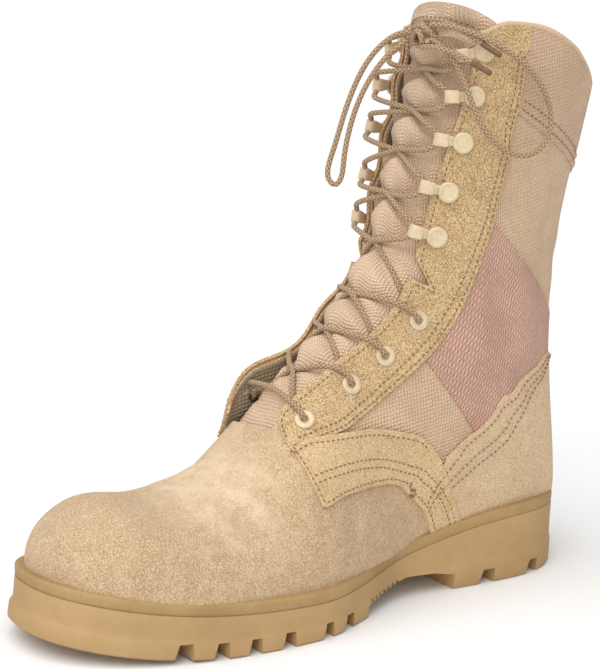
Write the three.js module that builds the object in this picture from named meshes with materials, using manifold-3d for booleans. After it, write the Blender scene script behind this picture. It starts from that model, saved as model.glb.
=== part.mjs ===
// Desert combat boot, left shoe of a pair, laced and tied, standing empty on its sole.
// Millimetres, +Z up, toe towards -Y, the shoe's outer side at +X.
// Shapes are worked out in the shoe's own coordinates: run forward from the back of the sole,
// side outwards from its long axis, rise up from the floor.
import * as THREE from "three";
import { mergeVertices } from "three/addons/utils/BufferGeometryUtils.js";
import Module from "manifold-3d";

const wasm = await Module();
wasm.setup();

// Driving sizes of the sole
const soleLength = 310;
const ballOuter = 60.2;
const ballInner = 52.5;
const waistOuter = 36;
const waistInner = 32;
const heelWidth = 79.6;
const toeTipShift = -7.2;
const heelHeight = 41;
const heelBlockHeight = 14;
const waistHeight = 27.5;
const ballHeight = 25;
const toeHeight = 38;
const toeSpring = 9.6;
const toeFlare = 4.2;
const weltThickness = 6;
const weltLedge = 4;
const archDepth = 12;
const lugDepth = 7;
const lugReach = 20;
const sideStep = 0.8;

// Driving sizes of the upper
const instepHeight = 130;
const shaftHeight = 292;
const collarCrown = 9;
const wall = 2.2;
const overlay = 1.4;
const clearance = 0.3;
const evenness = 0.06;
const tongueThickness = 3;
const tongueDepth = 1.6;
const tongueSink = 3;
const insoleThickness = 4;

// Driving sizes of the hardware and the lace
const eyeletRadius = 4.65;
const eyeletHole = 2.25;
const eyeletBarrelWall = 0.5;
const eyeletFlange = 0.9;
const hookHeadRadius = 5.4;
const hookHeadHeight = 1.6;
const hookPlate = 1;
const hookWidth = 6;
const hookReach = 15.5;
const laceRadius = 1.6;
const knotStandOff = 8;
const knotShift = 10;
const agletRadius = 1.3;
const agletLength = 11;

// Values that follow from the driving sizes
const featherLength = soleLength - 2 * weltLedge;
const featherTip = soleLength - weltLedge;
const ballWidth = ballOuter + ballInner;
const overlayTop = clearance + overlay;
const hookFloor = overlayTop + clearance;
const laceSpace = 2 * laceRadius + 2 * clearance;

// Plan outline: where each side turns, as shares of the sole's length, and how full its ends are
const outlineOuter = { heelAt: 0.15, waistAt: 0.353, ballAt: 0.6, heelFull: 2.3, toeFull: 2.07 };
const outlineInner = { heelAt: 0.15, waistAt: 0.42, ballAt: 0.7, heelFull: 2.3, toeFull: 2.7 };

// Height of the sole's top along the shoe: share of the length, height
const soleTopRows = [
  { at: 0, rise: heelHeight },
  { at: 0.22, rise: heelHeight - 2 },
  { at: 0.42, rise: waistHeight },
  { at: 0.62, rise: ballHeight },
  { at: 0.82, rise: ballHeight + 0.3 * (toeHeight - ballHeight) },
  { at: 1, rise: toeHeight },
];

// Sections of the foot, from the toe to the instep.
// run, back: where the section meets the top and the sole, as shares of the feather's length.
// rise, low: heights there, as shares of the instep height.
// outer, inner: half widths as shares of the feather outline. ridge: place of the top line as a share
// of the ball's width. belly: how far down the section is widest. crown, base: fullness above and below.
const footRows = [
  { run: 1.0, rise: 0.544, back: 1.0, low: 0, outer: 1.07, inner: 1.07, ridge: -0.062, belly: 0.62, crown: 2.5, base: 5 },
  { run: 0.901, rise: 0.567, back: 0.901, low: 0, outer: 1.09, inner: 1.08, ridge: -0.053, belly: 0.62, crown: 2.4, base: 5 },
  { run: 0.815, rise: 0.512, back: 0.815, low: 0, outer: 1.07, inner: 1.06, ridge: -0.044, belly: 0.62, crown: 2.3, base: 4.5 },
  { run: 0.735, rise: 0.529, back: 0.735, low: 0, outer: 1.03, inner: 1.04, ridge: -0.044, belly: 0.64, crown: 2.1, base: 4.2 },
  { run: 0.659, rise: 0.615, back: 0.649, low: 0, outer: 0.99, inner: 0.99, ridge: -0.035, belly: 0.64, crown: 2.0, base: 4.0 },
  { run: 0.591, rise: 0.815, back: 0.5, low: 0.03, outer: 0.99, inner: 1.04, ridge: -0.027, belly: 0.6, crown: 2.0, base: 3.5 },
  { run: 0.508, rise: 1.0, back: 0.334, low: 0.06, outer: 1.07, inner: 1.2, ridge: -0.018, belly: 0.57, crown: 2.0, base: 3.0 },
];

// Sections of the ankle and the shaft, as above, with heights as shares of the shaft height
const shaftRows = [
  { run: 0.444, rise: 0.514, back: 0.169, low: 0.041, outer: 1.12, inner: 1.3, ridge: -0.009, belly: 0.55, crown: 2.0, base: 2.8 },
  { run: 0.399, rise: 0.582, back: 0.02, low: 0.075, outer: 1.08, inner: 1.18, ridge: 0, belly: 0.54, crown: 2.0, base: 2.7 },
  { run: 0.369, rise: 0.64, back: -0.011, low: 0.155, outer: 1.02, inner: 1.08, ridge: 0, belly: 0.53, crown: 2.0, base: 2.6 },
  { run: 0.354, rise: 0.695, back: -0.002, low: 0.253, outer: 1.02, inner: 1.04, ridge: 0, belly: 0.52, crown: 2.0, base: 2.5 },
  { run: 0.34, rise: 0.75, back: 0.008, low: 0.357, outer: 1.04, inner: 1.04, ridge: 0, belly: 0.5, crown: 2.0, base: 2.4 },
  { run: 0.323, rise: 0.805, back: 0.01, low: 0.465, outer: 1.06, inner: 1.06, ridge: 0, belly: 0.5, crown: 2.0, base: 2.3 },
  { run: 0.303, rise: 0.856, back: 0.004, low: 0.572, outer: 1.09, inner: 1.09, ridge: 0, belly: 0.5, crown: 2.1, base: 2.2 },
  { run: 0.286, rise: 0.907, back: -0.013, low: 0.68, outer: 1.13, inner: 1.13, ridge: 0, belly: 0.5, crown: 2.1, base: 2.2 },
  { run: 0.276, rise: 0.955, back: -0.037, low: 0.784, outer: 1.17, inner: 1.17, ridge: 0, belly: 0.5, crown: 2.1, base: 2.2 },
  { run: 0.268, rise: 1.0, back: -0.06, low: 0.881, outer: 1.21, inner: 1.21, ridge: 0, belly: 0.5, crown: 2.1, base: 2.2 },
];
const toeRounding = { startsAt: 0.745, fullness: 2.27 };

// Seams of the panels. at: share of the way from the toe (0) to the collar (1) along the sections.
// turn: degrees around the section from its top line (0) to its back (180).
const throatEdge = [
  { at: 0.297, turn: 17 },
  { at: 0.353, turn: 25.5 },
  { at: 0.433, turn: 33 },
  { at: 0.497, turn: 34.5 },
  { at: 0.592, turn: 35.5 },
  { at: 0.773, turn: 40 },
  { at: 1.03, turn: 41.5 },
];
const facingRear = [
  { at: 0.297, turn: 37 },
  { at: 0.364, turn: 55 },
  { at: 0.452, turn: 57 },
  { at: 0.507, turn: 58 },
  { at: 0.614, turn: 66 },
  { at: 0.731, turn: 75 },
  { at: 0.837, turn: 76 },
  { at: 0.975, turn: 73 },
  { at: 1.04, turn: 71.5 },
];
const quarterLow = [
  { at: 0.303, turn: 67 },
  { at: 0.343, turn: 77.5 },
  { at: 0.38, turn: 88 },
  { at: 0.4, turn: 93 },
  { at: 0.42, turn: 91 },
  { at: 0.444, turn: 88 },
];
const quarterTop = [
  { at: 0.303, turn: 39 },
  { at: 0.331, turn: 48 },
  { at: 0.361, turn: 57 },
  { at: 0.404, turn: 70 },
  { at: 0.433, turn: 82 },
  { at: 0.444, turn: 87 },
];
const counterEdge = [
  { at: 0.402, turn: 98 },
  { at: 0.422, turn: 93 },
  { at: 0.438, turn: 90.5 },
  { at: 0.468, turn: 89 },
  { at: 0.518, turn: 89 },
  { at: 0.598, turn: 99 },
  { at: 0.65, turn: 115 },
  { at: 0.688, turn: 132 },
  { at: 0.7, turn: 146 },
];
const patchRear = [
  { at: 0.488, turn: 84 },
  { at: 0.518, turn: 85.5 },
  { at: 0.598, turn: 95 },
  { at: 0.65, turn: 110 },
  { at: 0.688, turn: 125 },
  { at: 0.722, turn: 146 },
  { at: 0.745, turn: 165 },
];
const cuffBottom = 0.922;
const collarShape = [
  { turn: 0, crown: 0 },
  { turn: 40, crown: 0 },
  { turn: 58, crown: 0.8 },
  { turn: 80, crown: 1 },
  { turn: 100, crown: 0.74 },
  { turn: 120, crown: 0.3 },
  { turn: 140, crown: 0 },
  { turn: 180, crown: -0.1 },
];

// Eyelets and speed hooks on each facing, from the lowest to the highest
const eyeletStations = [
  { at: 0.327, turn: 34 },
  { at: 0.388, turn: 43 },
  { at: 0.438, turn: 45 },
  { at: 0.499, turn: 46.5 },
];
const hookStations = [
  { at: 0.635, turn: 45 },
  { at: 0.715, turn: 47 },
  { at: 0.802, turn: 48 },
  { at: 0.882, turn: 47 },
  { at: 0.97, turn: 47 },
];

// Side notches between the lugs: where each starts and ends along the sole, as shares of its length
const sideNotches = [
  { from: 0.52, to: 0.543 },
  { from: 0.571, to: 0.591 },
  { from: 0.646, to: 0.668 },
  { from: 0.706, to: 0.727 },
  { from: 0.76, to: 0.783 },
  { from: 0.816, to: 0.843 },
  { from: 0.09, to: 0.116 },
  { from: 0.19, to: 0.22 },
];
const archShape = [
  { at: 0.271, rise: -0.1 },
  { at: 0.271, rise: 0.7 },
  { at: 0.31, rise: 0.92 },
  { at: 0.371, rise: 1 },
  { at: 0.42, rise: 0.8 },
  { at: 0.474, rise: 0.55 },
  { at: 0.474, rise: -0.1 },
];

// Natural cubic through the named columns of a table whose rows stand at rising knots
function smoothTable(rows, columns, knotOf) {
  const knots = rows.map(knotOf);
  const count = rows.length;
  const bends = {};
  for (const column of columns) {
    const y = rows.map((row) => row[column]);
    const upper = new Array(count).fill(0);
    const value = new Array(count).fill(0);
    for (let i = 1; i < count - 1; i++) {
      const before = knots[i] - knots[i - 1];
      const after = knots[i + 1] - knots[i];
      const change = (y[i + 1] - y[i]) / after - (y[i] - y[i - 1]) / before;
      const pivot = 2 * (before + after) - before * upper[i - 1];
      upper[i] = after / pivot;
      value[i] = (6 * change - before * value[i - 1]) / pivot;
    }
    const bend = new Array(count).fill(0);
    for (let i = count - 2; i > 0; i--) bend[i] = value[i] - upper[i] * bend[i + 1];
    bends[column] = bend;
  }
  return (x) => {
    let i = 0;
    while (i < count - 2 && x > knots[i + 1]) i++;
    const step = knots[i + 1] - knots[i];
    const inside = Math.min(Math.max(x, knots[0]), knots[count - 1]);
    const b = (inside - knots[i]) / step;
    const a = 1 - b;
    const found = {};
    for (const column of columns) {
      const bend = bends[column];
      const low = rows[i][column];
      const high = rows[i + 1][column];
      const curve = ((a ** 3 - a) * bend[i] + (b ** 3 - b) * bend[i + 1]) * (step * step) / 6;
      const slopeAtEnd = (high - low) / step + ((3 * b * b - 1) * bend[i + 1] - (3 * a * a - 1) * bend[i]) * step / 6;
      found[column] = a * low + b * high + curve + (x - inside) * slopeAtEnd;
    }
    return found;
  };
}

// Straight interpolation in a table of two columns
function along(rows, key, column) {
  return (x) => {
    if (x <= rows[0][key]) return rows[0][column];
    for (let i = 1; i < rows.length; i++) {
      if (x <= rows[i][key]) {
        const share = (x - rows[i - 1][key]) / (rows[i][key] - rows[i - 1][key]);
        return rows[i - 1][column] + share * (rows[i][column] - rows[i - 1][column]);
      }
    }
    return rows[rows.length - 1][column];
  };
}

const clamp = (x, low, high) => Math.min(Math.max(x, low), high);
const ease = (from, to, x) => from + (to - from) * clamp(x, 0, 1) ** 2 * (3 - 2 * clamp(x, 0, 1));
const superArc = (x, fullness) => Math.max(0, 1 - clamp(x, 0, 1) ** fullness) ** (1 / fullness);
const place = (run, side, rise) => new THREE.Vector3(side, -run, rise);

// Half width of one side of the sole at a run
function halfWidth(run, shape, waist, ball, tip) {
  const heelEnd = shape.heelAt * soleLength;
  const waistEnd = shape.waistAt * soleLength;
  const ballEnd = shape.ballAt * soleLength;
  const heel = heelWidth / 2;
  if (run < heelEnd) return heel * superArc((heelEnd - run) / heelEnd, shape.heelFull);
  if (run < waistEnd) return ease(heel, waist, (run - heelEnd) / (waistEnd - heelEnd));
  if (run < ballEnd) return ease(waist, ball, (run - waistEnd) / (ballEnd - waistEnd));
  return tip + (ball - tip) * superArc((run - ballEnd) / (soleLength - ballEnd), shape.toeFull);
}

// The two edges of the outline, drawn in by an inset, at a share of the way from heel to toe
function edgesAt(share, inset) {
  const outer = halfWidth(share * soleLength, outlineOuter, waistOuter, ballOuter, toeTipShift);
  const inner = halfWidth(share * soleLength, outlineInner, waistInner, ballInner, -toeTipShift);
  const middle = (outer - inner) / 2;
  const half = (outer + inner) / 2;
  const drawn = Math.abs(inset) < 1e-6 ? half : half - inset * Math.min(1, half / (3 * Math.abs(inset)));
  return { outer: middle + drawn, inner: middle - drawn };
}

const soleTopCurve = smoothTable(soleTopRows, ["rise"], (row) => row.at * soleLength);
const soleTop = (run) => soleTopCurve(clamp(run, 0, soleLength)).rise;
const treadRise = (run) => toeSpring * clamp((run / soleLength - 0.72) / 0.28, 0, 1.1) ** 1.8;

// Section table of the whole upper, in millimetres
const sectionRows = [
  ...footRows.map((row) => ({ ...row, rise: row.rise * instepHeight, low: row.low * instepHeight })),
  ...shaftRows.map((row) => ({ ...row, rise: row.rise * shaftHeight, low: row.low * shaftHeight })),
];
const lastRow = sectionRows.length - 1;
const sectionColumns = ["run", "rise", "back", "low", "outer", "inner", "ridge", "belly", "crown", "base"];
const sectionTable = smoothTable(sectionRows, sectionColumns, (row) => sectionRows.indexOf(row) / lastRow);

// A point of the upper's surface, moved outwards by grow. at: 0 toe to 1 collar.
// turn: degrees from the top line, positive on the outer side.
function upperPoint(at, turn, grow) {
  const row = sectionTable(at);
  const roundingStart = toeRounding.startsAt * soleLength;
  let topRun = weltLedge + row.run * featherLength;
  let backRun = weltLedge + row.back * featherLength;
  let topRise = row.rise;
  let backRise = row.low;
  const widestRun = topRun + row.belly * (backRun - topRun);
  if (topRun > roundingStart) {
    const share = Math.min((topRun - roundingStart) / (featherTip - roundingStart), 0.9995);
    const rounding = superArc(share, toeRounding.fullness);
    const floor = soleTop(topRun);
    topRise = floor + (topRise - floor) * rounding;
    backRise = floor + (backRise - floor) * rounding;
    topRun += grow * share;
    backRun += grow * share;
  }
  const length = Math.hypot(backRun - topRun, backRise - topRise);
  const alongRun = (backRun - topRun) / length;
  const alongRise = (backRise - topRise) / length;
  topRun -= alongRun * grow;
  topRise -= alongRise * grow;
  backRun += alongRun * grow;
  backRise += alongRise * grow;
  const share = clamp((widestRun - weltLedge) / featherLength, 0, 1);
  const edges = edgesAt(share, weltLedge);
  const ridge = row.ridge * ballWidth;
  const angle = (turn * Math.PI) / 180;
  const cosine = Math.cos(angle);
  const sine = Math.sin(angle);
  const power = 2 / (cosine >= 0 ? row.crown : row.base);
  const bulk = Math.abs(cosine) ** power;
  const down = cosine >= 0 ? row.belly * (1 - bulk) : row.belly + (1 - row.belly) * bulk;
  const reach = (sine >= 0 ? edges.outer * row.outer - ridge : ridge - edges.inner * row.inner) + grow;
  const side = ridge + Math.sign(sine) * reach * Math.abs(sine) ** power;
  return place(topRun + down * (backRun - topRun), side, topRise + down * (backRise - topRise));
}

// Where the collar ends at a turn
const collarCurve = along(collarShape, "turn", "crown");
const risePerAt = (shaftRows[9].rise - shaftRows[8].rise) * shaftHeight * lastRow;
const collarEnd = (turn) => 1 + (collarCrown * collarCurve(Math.abs(turn > 180 ? 360 - turn : turn))) / risePerAt;
const toCollar = (at, turn, end) => (at < 0.9 ? at : at + ((at - 0.9) / 0.1) * (end - 1));

// Closed geometry from loops of equal length, joined one to the next and capped at both ends
function loft(loops) {
  const size = loops[0].length;
  const points = loops.flat();
  const faces = [];
  for (let i = 0; i < loops.length - 1; i++) {
    for (let j = 0; j < size; j++) {
      const a = i * size + j;
      const b = i * size + ((j + 1) % size);
      faces.push(a, b, b + size, a, b + size, a + size);
    }
  }
  for (const [loop, flip] of [[0, true], [loops.length - 1, false]]) {
    const centre = points.length;
    const middle = new THREE.Vector3();
    loops[loop].forEach((point) => middle.add(point));
    points.push(middle.divideScalar(size));
    for (let j = 0; j < size; j++) {
      const a = loop * size + j;
      const b = loop * size + ((j + 1) % size);
      faces.push(centre, flip ? b : a, flip ? a : b);
    }
  }
  const geometry = new THREE.BufferGeometry().setFromPoints(points);
  geometry.setIndex(faces);
  return geometry;
}

// A sheet of even thickness over a region of the upper: rows of places, each from one edge to the other
function sheet(rows, low, high) {
  const face = (places, grow) => places.map(({ at, turn }) => upperPoint(at, turn, grow));
  return loft(rows.map((places) => [...face(places, high), ...face(places, low).reverse()]));
}

function solidOf(geometry) {
  const flat = geometry.index ? geometry.toNonIndexed() : geometry.clone();
  const bare = new THREE.BufferGeometry().setAttribute("position", flat.getAttribute("position"));
  const merged = mergeVertices(bare, 1e-3);
  const mesh = { numProp: 3, vertProperties: merged.attributes.position.array };
  mesh.triVerts = new Uint32Array(merged.index.array);
  const made = new wasm.Manifold(new wasm.Mesh(mesh));
  if (made.volume() >= 0) return made;
  for (let i = 0; i < mesh.triVerts.length; i += 3) mesh.triVerts.subarray(i, i + 2).reverse();
  return new wasm.Manifold(new wasm.Mesh(mesh));
}

// The main body of a cut, without the vertices that don't shape it
const tidy = (solid) => solid.simplify(evenness).decompose().sort((a, b) => b.volume() - a.volume())[0];

function geometryOf(solid) {
  const mesh = solid.getMesh();
  const geometry = new THREE.BufferGeometry();
  geometry.setAttribute("position", new THREE.BufferAttribute(new Float32Array(mesh.vertProperties), 3));
  geometry.setIndex(new THREE.BufferAttribute(new Uint32Array(mesh.triVerts), 1));
  geometry.computeVertexNormals();
  return geometry;
}

const steps = (from, to, count) => Array.from({ length: count + 1 }, (_, i) => from + ((to - from) * i) / count);

// A prism across the shoe with its outline given in run and rise
function acrossPrism(outline, sideFrom, sideTo) {
  const shape = new THREE.Shape(outline.map(([run, rise]) => new THREE.Vector2(run, rise)));
  const geometry = new THREE.ExtrudeGeometry(shape, { depth: sideTo - sideFrom, bevelEnabled: false });
  const basis = new THREE.Matrix4().makeBasis(
    new THREE.Vector3(0, -1, 0),
    new THREE.Vector3(0, 0, 1),
    new THREE.Vector3(1, 0, 0),
  );
  return geometry.applyMatrix4(basis.setPosition(sideFrom, 0, 0));
}

// Everything above the sole's top, with the clearance that the upper keeps to it
const farAway = 2 * shaftHeight;
const overSole = solidOf(
  acrossPrism(
    [
      [soleLength + heelHeight, farAway],
      [-heelHeight, farAway],
      ...steps(-heelHeight, soleLength + heelHeight, 30).map((run) => [run, soleTop(run) + clearance]),
    ],
    -ballWidth,
    ballWidth,
  ),
);

// The sole's layers: a body along the shoe whose side profile is given from top to bottom
function soleLayer(profile, stations) {
  const loops = stations.map((share) => {
    const edge = (side) =>
      profile.map(({ inset, rise }) => {
        const drawn = typeof inset === "function" ? inset(share) : inset;
        const run = drawn + share * (soleLength - 2 * drawn);
        return place(run, edgesAt(share, drawn)[side], rise(run));
      });
    return [...edge("outer"), ...edge("inner").reverse()];
  });
  return solidOf(loft(loops));
}
const soleStations = steps(0, 1, 34).map((u) => 0.5 - 0.5 * Math.cos(Math.PI * clamp(u, 0.014, 0.986)));

function makeMidsole() {
  const half = weltThickness / 2;
  const profile = [
    { inset: 0.6, rise: (run) => soleTop(run) },
    { inset: 0, rise: (run) => soleTop(run) - 0.8 },
    { inset: 0, rise: (run) => soleTop(run) - half },
    { inset: 0.4, rise: (run) => soleTop(run) - weltThickness },
  ];
  return soleLayer(profile, soleStations);
}

function makeOutsole() {
  const flare = (depth) => (share) => depth - toeFlare * clamp((share - 0.5) / 0.4, 0, 1);
  const top = (run) => soleTop(run) - weltThickness - clearance;
  const between = (share) => (run) => top(run) + share * (treadRise(run) - top(run));
  const profile = [
    { inset: 0.4, rise: top },
    { inset: sideStep, rise: between(0.12) },
    { inset: (share) => sideStep - 0.5 * toeFlare * clamp((share - 0.5) / 0.4, 0, 1), rise: between(0.55) },
    { inset: flare(0), rise: between(0.62) },
    { inset: flare(0), rise: between(0.97) },
    { inset: flare(0.8), rise: treadRise },
  ];
  let sole = soleLayer(profile, soleStations);
  const arch = archShape.map(({ at, rise }) => [at * soleLength, rise * archDepth]);
  sole = sole.subtract(solidOf(acrossPrism(arch, -ballWidth, ballWidth)));
  for (const { from, to } of sideNotches) {
    const start = from * soleLength;
    const end = to * soleLength;
    const slant = 0.25 * (end - start);
    const floor = treadRise((start + end) / 2);
    const outline = [
      [start, -lugDepth],
      [end, -lugDepth],
      [end, floor],
      [end - slant, floor + lugDepth],
      [start, floor + lugDepth],
    ];
    const edges = edgesAt((start + end) / 2 / soleLength, 0);
    sole = sole.subtract(solidOf(acrossPrism(outline, edges.outer - lugReach, ballWidth)));
    sole = sole.subtract(solidOf(acrossPrism(outline, -ballWidth, edges.inner + lugReach)));
  }
  return sole;
}

function makeInsole() {
  const inset = weltLedge + wall + 3;
  const profile = [
    { inset: inset + 0.8, rise: (run) => soleTop(run) + clearance + insoleThickness },
    { inset, rise: (run) => soleTop(run) + clearance + insoleThickness * 0.6 },
    { inset, rise: (run) => soleTop(run) + 2 * clearance },
  ];
  return soleLayer(profile, steps(0, 1, 18).map((u) => 0.5 - 0.5 * Math.cos(Math.PI * clamp(u, 0.03, 0.97))));
}

// Rings around the whole section, for a body inside the surface at grow
function wholeBody(grow, places, turns) {
  return solidOf(
    loft(
      places.map((at) => turns.map((turn) => upperPoint(toCollar(at, turn, collarEnd(turn)), turn, grow))),
    ),
  );
}
const ringTurns = (count) => Array.from({ length: count }, (_, i) => (360 * i) / count - 180);
const outerTurns = ringTurns(28);
const toeToCollar = (first, count) => [
  ...steps(Math.sqrt(first / 0.125), 1, Math.round(count * 0.34)).map((u) => 0.125 * u * u),
  ...steps(0.125, 1, Math.round(count * 0.66)).slice(1),
];
const signed = (turn) => (turn > 180 ? turn - 360 : turn);

// The throat's cutter: a thick sheet over the opening between the facings
const edgeCurve = smoothTable(throatEdge, ["turn"], (row) => row.at);
const throatTurn = (at) => edgeCurve(at).turn;
const rearCurve = smoothTable(facingRear, ["turn"], (row) => row.at);
const rearTurn = (at) => rearCurve(at).turn;
const throatStart = throatEdge[0].at;
function makeThroatCutter() {
  const rows = steps(throatStart, 1.12, 20).map((at) => {
    const reach = throatTurn(Math.min(at, 1.03));
    return steps(-reach, reach, 4).map((turn) => ({ at, turn }));
  });
  return solidOf(sheet(rows, -4 * wall, 4 * wall));
}

// Frame on the upper's surface: where a fitting sits, its outward normal and its direction to the throat
function seatFrame({ at, turn }, side, grow) {
  const point = upperPoint(at, side * turn, grow);
  const inward = upperPoint(at, side * (turn - 4), grow).sub(upperPoint(at, side * (turn + 4), grow)).normalize();
  const upward = upperPoint(at + 0.01, side * turn, grow).sub(upperPoint(at - 0.01, side * turn, grow)).normalize();
  const normal = new THREE.Vector3().crossVectors(upward, inward).multiplyScalar(side).normalize();
  const along = new THREE.Vector3().crossVectors(normal, inward).normalize();
  return new THREE.Matrix4().makeBasis(inward, along, normal).setPosition(point);
}

// The same frame, raised until nothing of the curved surface within a radius stands over its plane
function flatSeat(station, side, grow, radius) {
  const frame = seatFrame(station, side, grow);
  const toSeat = frame.clone().invert();
  let highest = 2 * clearance;
  for (const alongStep of steps(-0.03, 0.03, 10)) {
    for (const turnStep of steps(-12, 12, 10)) {
      const near = upperPoint(station.at + alongStep, side * (station.turn + turnStep), grow);
      near.applyMatrix4(toSeat);
      if (Math.hypot(near.x, near.y) < radius) highest = Math.max(highest, near.z);
    }
  }
  return frame.multiply(new THREE.Matrix4().makeTranslation(0, 0, highest));
}
const eyeletSeat = (station, side) => flatSeat(station, side, hookFloor, eyeletRadius + clearance);

function eyeletBore(station, side) {
  const radius = (eyeletHole + eyeletBarrelWall + clearance) / Math.cos(Math.PI / 8);
  const bore = new THREE.CylinderGeometry(radius, radius, 6 * (wall + overlay), 8);
  bore.rotateX(Math.PI / 2);
  return solidOf(bore.applyMatrix4(eyeletSeat(station, side)));
}
const bores = [1, -1].map((side) => eyeletStations.map((station) => eyeletBore(station, side)));
const cutBores = (solid, side) => bores[side > 0 ? 0 : 1].reduce((left, bore) => left.subtract(bore), solid);

const places = toeToCollar(0.0012, 24);
function makeUpper() {
  const outer = wholeBody(0, places, outerTurns);
  const inner = wholeBody(-wall, [...toeToCollar(0.0012, 22), 1.06], ringTurns(24));
  const shell = outer.subtract(inner).subtract(makeThroatCutter()).intersect(overSole);
  return tidy(cutBores(cutBores(shell, 1), -1));
}

// The skin that all the overlays are cut from, with the upper's own facets
const skin = wholeBody(overlayTop, places, outerTurns).subtract(
  wholeBody(clearance, [...places, 1.04], outerTurns),
);
const skinCut = (rows) => tidy(skin.intersect(solidOf(sheet(rows, -overlay, 3 * overlay))));

// A panel of the skin between two seams, on one side
function panel(stations, from, to, across, side) {
  return skinCut(
    stations.map((at) => {
      const row = steps(from(at), to(at), across);
      return row.map((turn) => ({ at: toCollar(at, turn, collarEnd(turn)), turn: side * turn }));
    }),
  );
}

function makeFacing(side) {
  const front = (at) => throatTurn(Math.min(at, 1.03)) + 0.4;
  const stations = [...steps(throatStart + 0.004, 0.497, 7), ...steps(0.497, 1.02, 10).slice(1)];
  return tidy(cutBores(panel(stations, front, (at) => rearTurn(Math.min(at, 1.03)) - 0.4, 2, side), side));
}

function makeQuarter(side) {
  const top = along(quarterTop, "at", "turn");
  return panel(steps(0.305, 0.442, 7), (at) => top(at) + 1, along(quarterLow, "at", "turn"), 2, side);
}

function makeAnklePatch(side) {
  return panel(steps(0.49, 0.745, 8), (at) => rearTurn(at) + 1.4, along(patchRear, "at", "turn"), 4, side);
}

function makeCollarCuff() {
  return skinCut(
    [cuffBottom, 0.97, 1.02].map((at) =>
      steps(79, 360 - 79, 12).map((turn) => ({ at: toCollar(at, turn, collarEnd(turn)), turn: signed(turn) })),
    ),
  );
}

function makeHeelCounter() {
  const edge = along(counterEdge, "at", "turn");
  const rows = counterEdge.map(({ at }) =>
    steps(edge(at), 360 - edge(at), 10).map((turn) => ({ at, turn: signed(turn) })),
  );
  return tidy(skinCut(rows).intersect(overSole));
}

// The tongue lies under the facings, sinks a little in the open throat and stands over the collar
function makeTongue() {
  const top = -(wall + tongueDepth);
  const spread = 15;
  const widest = (at) => throatTurn(Math.min(at, 1.03)) + spread * Math.min(1, 0.4 + (at - 0.27) * 8);
  const loops = steps(0, 1, 20).map((share) => {
    const at = 0.272 + share * (1.058 - 0.272);
    const reach = widest(at);
    const columns = steps(-1, 1, 8);
    const point = (across, grow) => {
      const sunk = tongueSink * Math.cos((across * Math.PI) / 2) ** 2;
      const curl = share > 0.9 ? ((share - 0.9) / 0.1) ** 2 * 0.028 * across ** 4 : 0;
      return upperPoint(at - curl, reach * across, grow - sunk);
    };
    return [
      ...columns.map((across) => point(across, top)),
      ...columns.reverse().map((across) => point(across, top - tongueThickness)),
    ];
  });
  return solidOf(loft(loops));
}

// Eyelet: a flanged ring with its barrel through the facing and the upper
function makeEyelet(station, side) {
  const outer = eyeletHole + eyeletBarrelWall;
  const profile = [
    [eyeletHole, -(hookFloor + wall)],
    [outer, -(hookFloor + wall)],
    [outer, 0],
    [eyeletRadius, 0],
    [eyeletRadius - 0.8, eyeletFlange],
    [eyeletHole, eyeletFlange],
    [eyeletHole, -(hookFloor + wall)],
  ];
  const ring = new THREE.LatheGeometry(profile.map(([x, y]) => new THREE.Vector2(x, y)), 10);
  ring.rotateX(Math.PI / 2);
  return solidOf(ring.applyMatrix4(eyeletSeat(station, side)));
}

// Speed hook: a riveted plate whose end curls up and back over the lace
const curlRadius = laceSpace / 2 + hookPlate;
const channelAt = hookReach - curlRadius;
function makeHook(station, side) {
  const profile = new THREE.Shape();
  profile.moveTo(0, 0);
  profile.lineTo(channelAt, 0);
  profile.absarc(channelAt, curlRadius, curlRadius, -Math.PI / 2, Math.PI / 2, false);
  profile.lineTo(channelAt - 4, 2 * curlRadius);
  profile.lineTo(channelAt - 4, 2 * curlRadius - hookPlate);
  profile.lineTo(channelAt, 2 * curlRadius - hookPlate);
  profile.absarc(channelAt, curlRadius, curlRadius - hookPlate, Math.PI / 2, -Math.PI / 2, true);
  profile.lineTo(0, hookPlate);
  const strip = new THREE.ExtrudeGeometry(profile, { depth: hookWidth, bevelEnabled: false, curveSegments: 4 });
  strip.translate(0, 0, -hookWidth / 2).rotateX(Math.PI / 2);
  const head = new THREE.LatheGeometry(
    [
      [0, 0],
      [hookHeadRadius, 0],
      [hookHeadRadius, hookPlate],
      [hookHeadRadius - 1.2, hookPlate + hookHeadHeight],
      [0, hookPlate + hookHeadHeight],
    ].map(([x, y]) => new THREE.Vector2(x, y)),
    12,
  ).rotateX(Math.PI / 2);
  const frame = seatFrame(station, side, hookFloor);
  return solidOf(strip.applyMatrix4(frame)).add(solidOf(head.applyMatrix4(frame)));
}

// A round cord: rings across a run of points, each turned by no more than its neighbour asks
function cordGeometry(points, radius, sides = 8) {
  const across = new THREE.Vector3(0, 0, 1);
  const rings = points.map((point, i) => {
    const before = points[Math.max(i - 1, 0)];
    const after = points[Math.min(i + 1, points.length - 1)];
    const way = after.clone().sub(before).normalize();
    if (Math.abs(across.dot(way)) > 0.99) across.set(1, 0, 0);
    across.addScaledVector(way, -across.dot(way)).normalize();
    const other = new THREE.Vector3().crossVectors(way, across);
    return steps(0, 2 * Math.PI, sides).slice(0, -1).map((a) => {
      const reach = point.clone().addScaledVector(across, radius * Math.cos(a));
      return reach.addScaledVector(other, radius * Math.sin(a));
    });
  });
  return loft(rings);
}

// Evenly spaced points of the smooth curve through a route from the knot
function smoothRoute(route, count) {
  const curve = new THREE.CatmullRomCurve3(route.map(fromKnot), false, "centripetal");
  return curve.getSpacedPoints(count);
}

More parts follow.
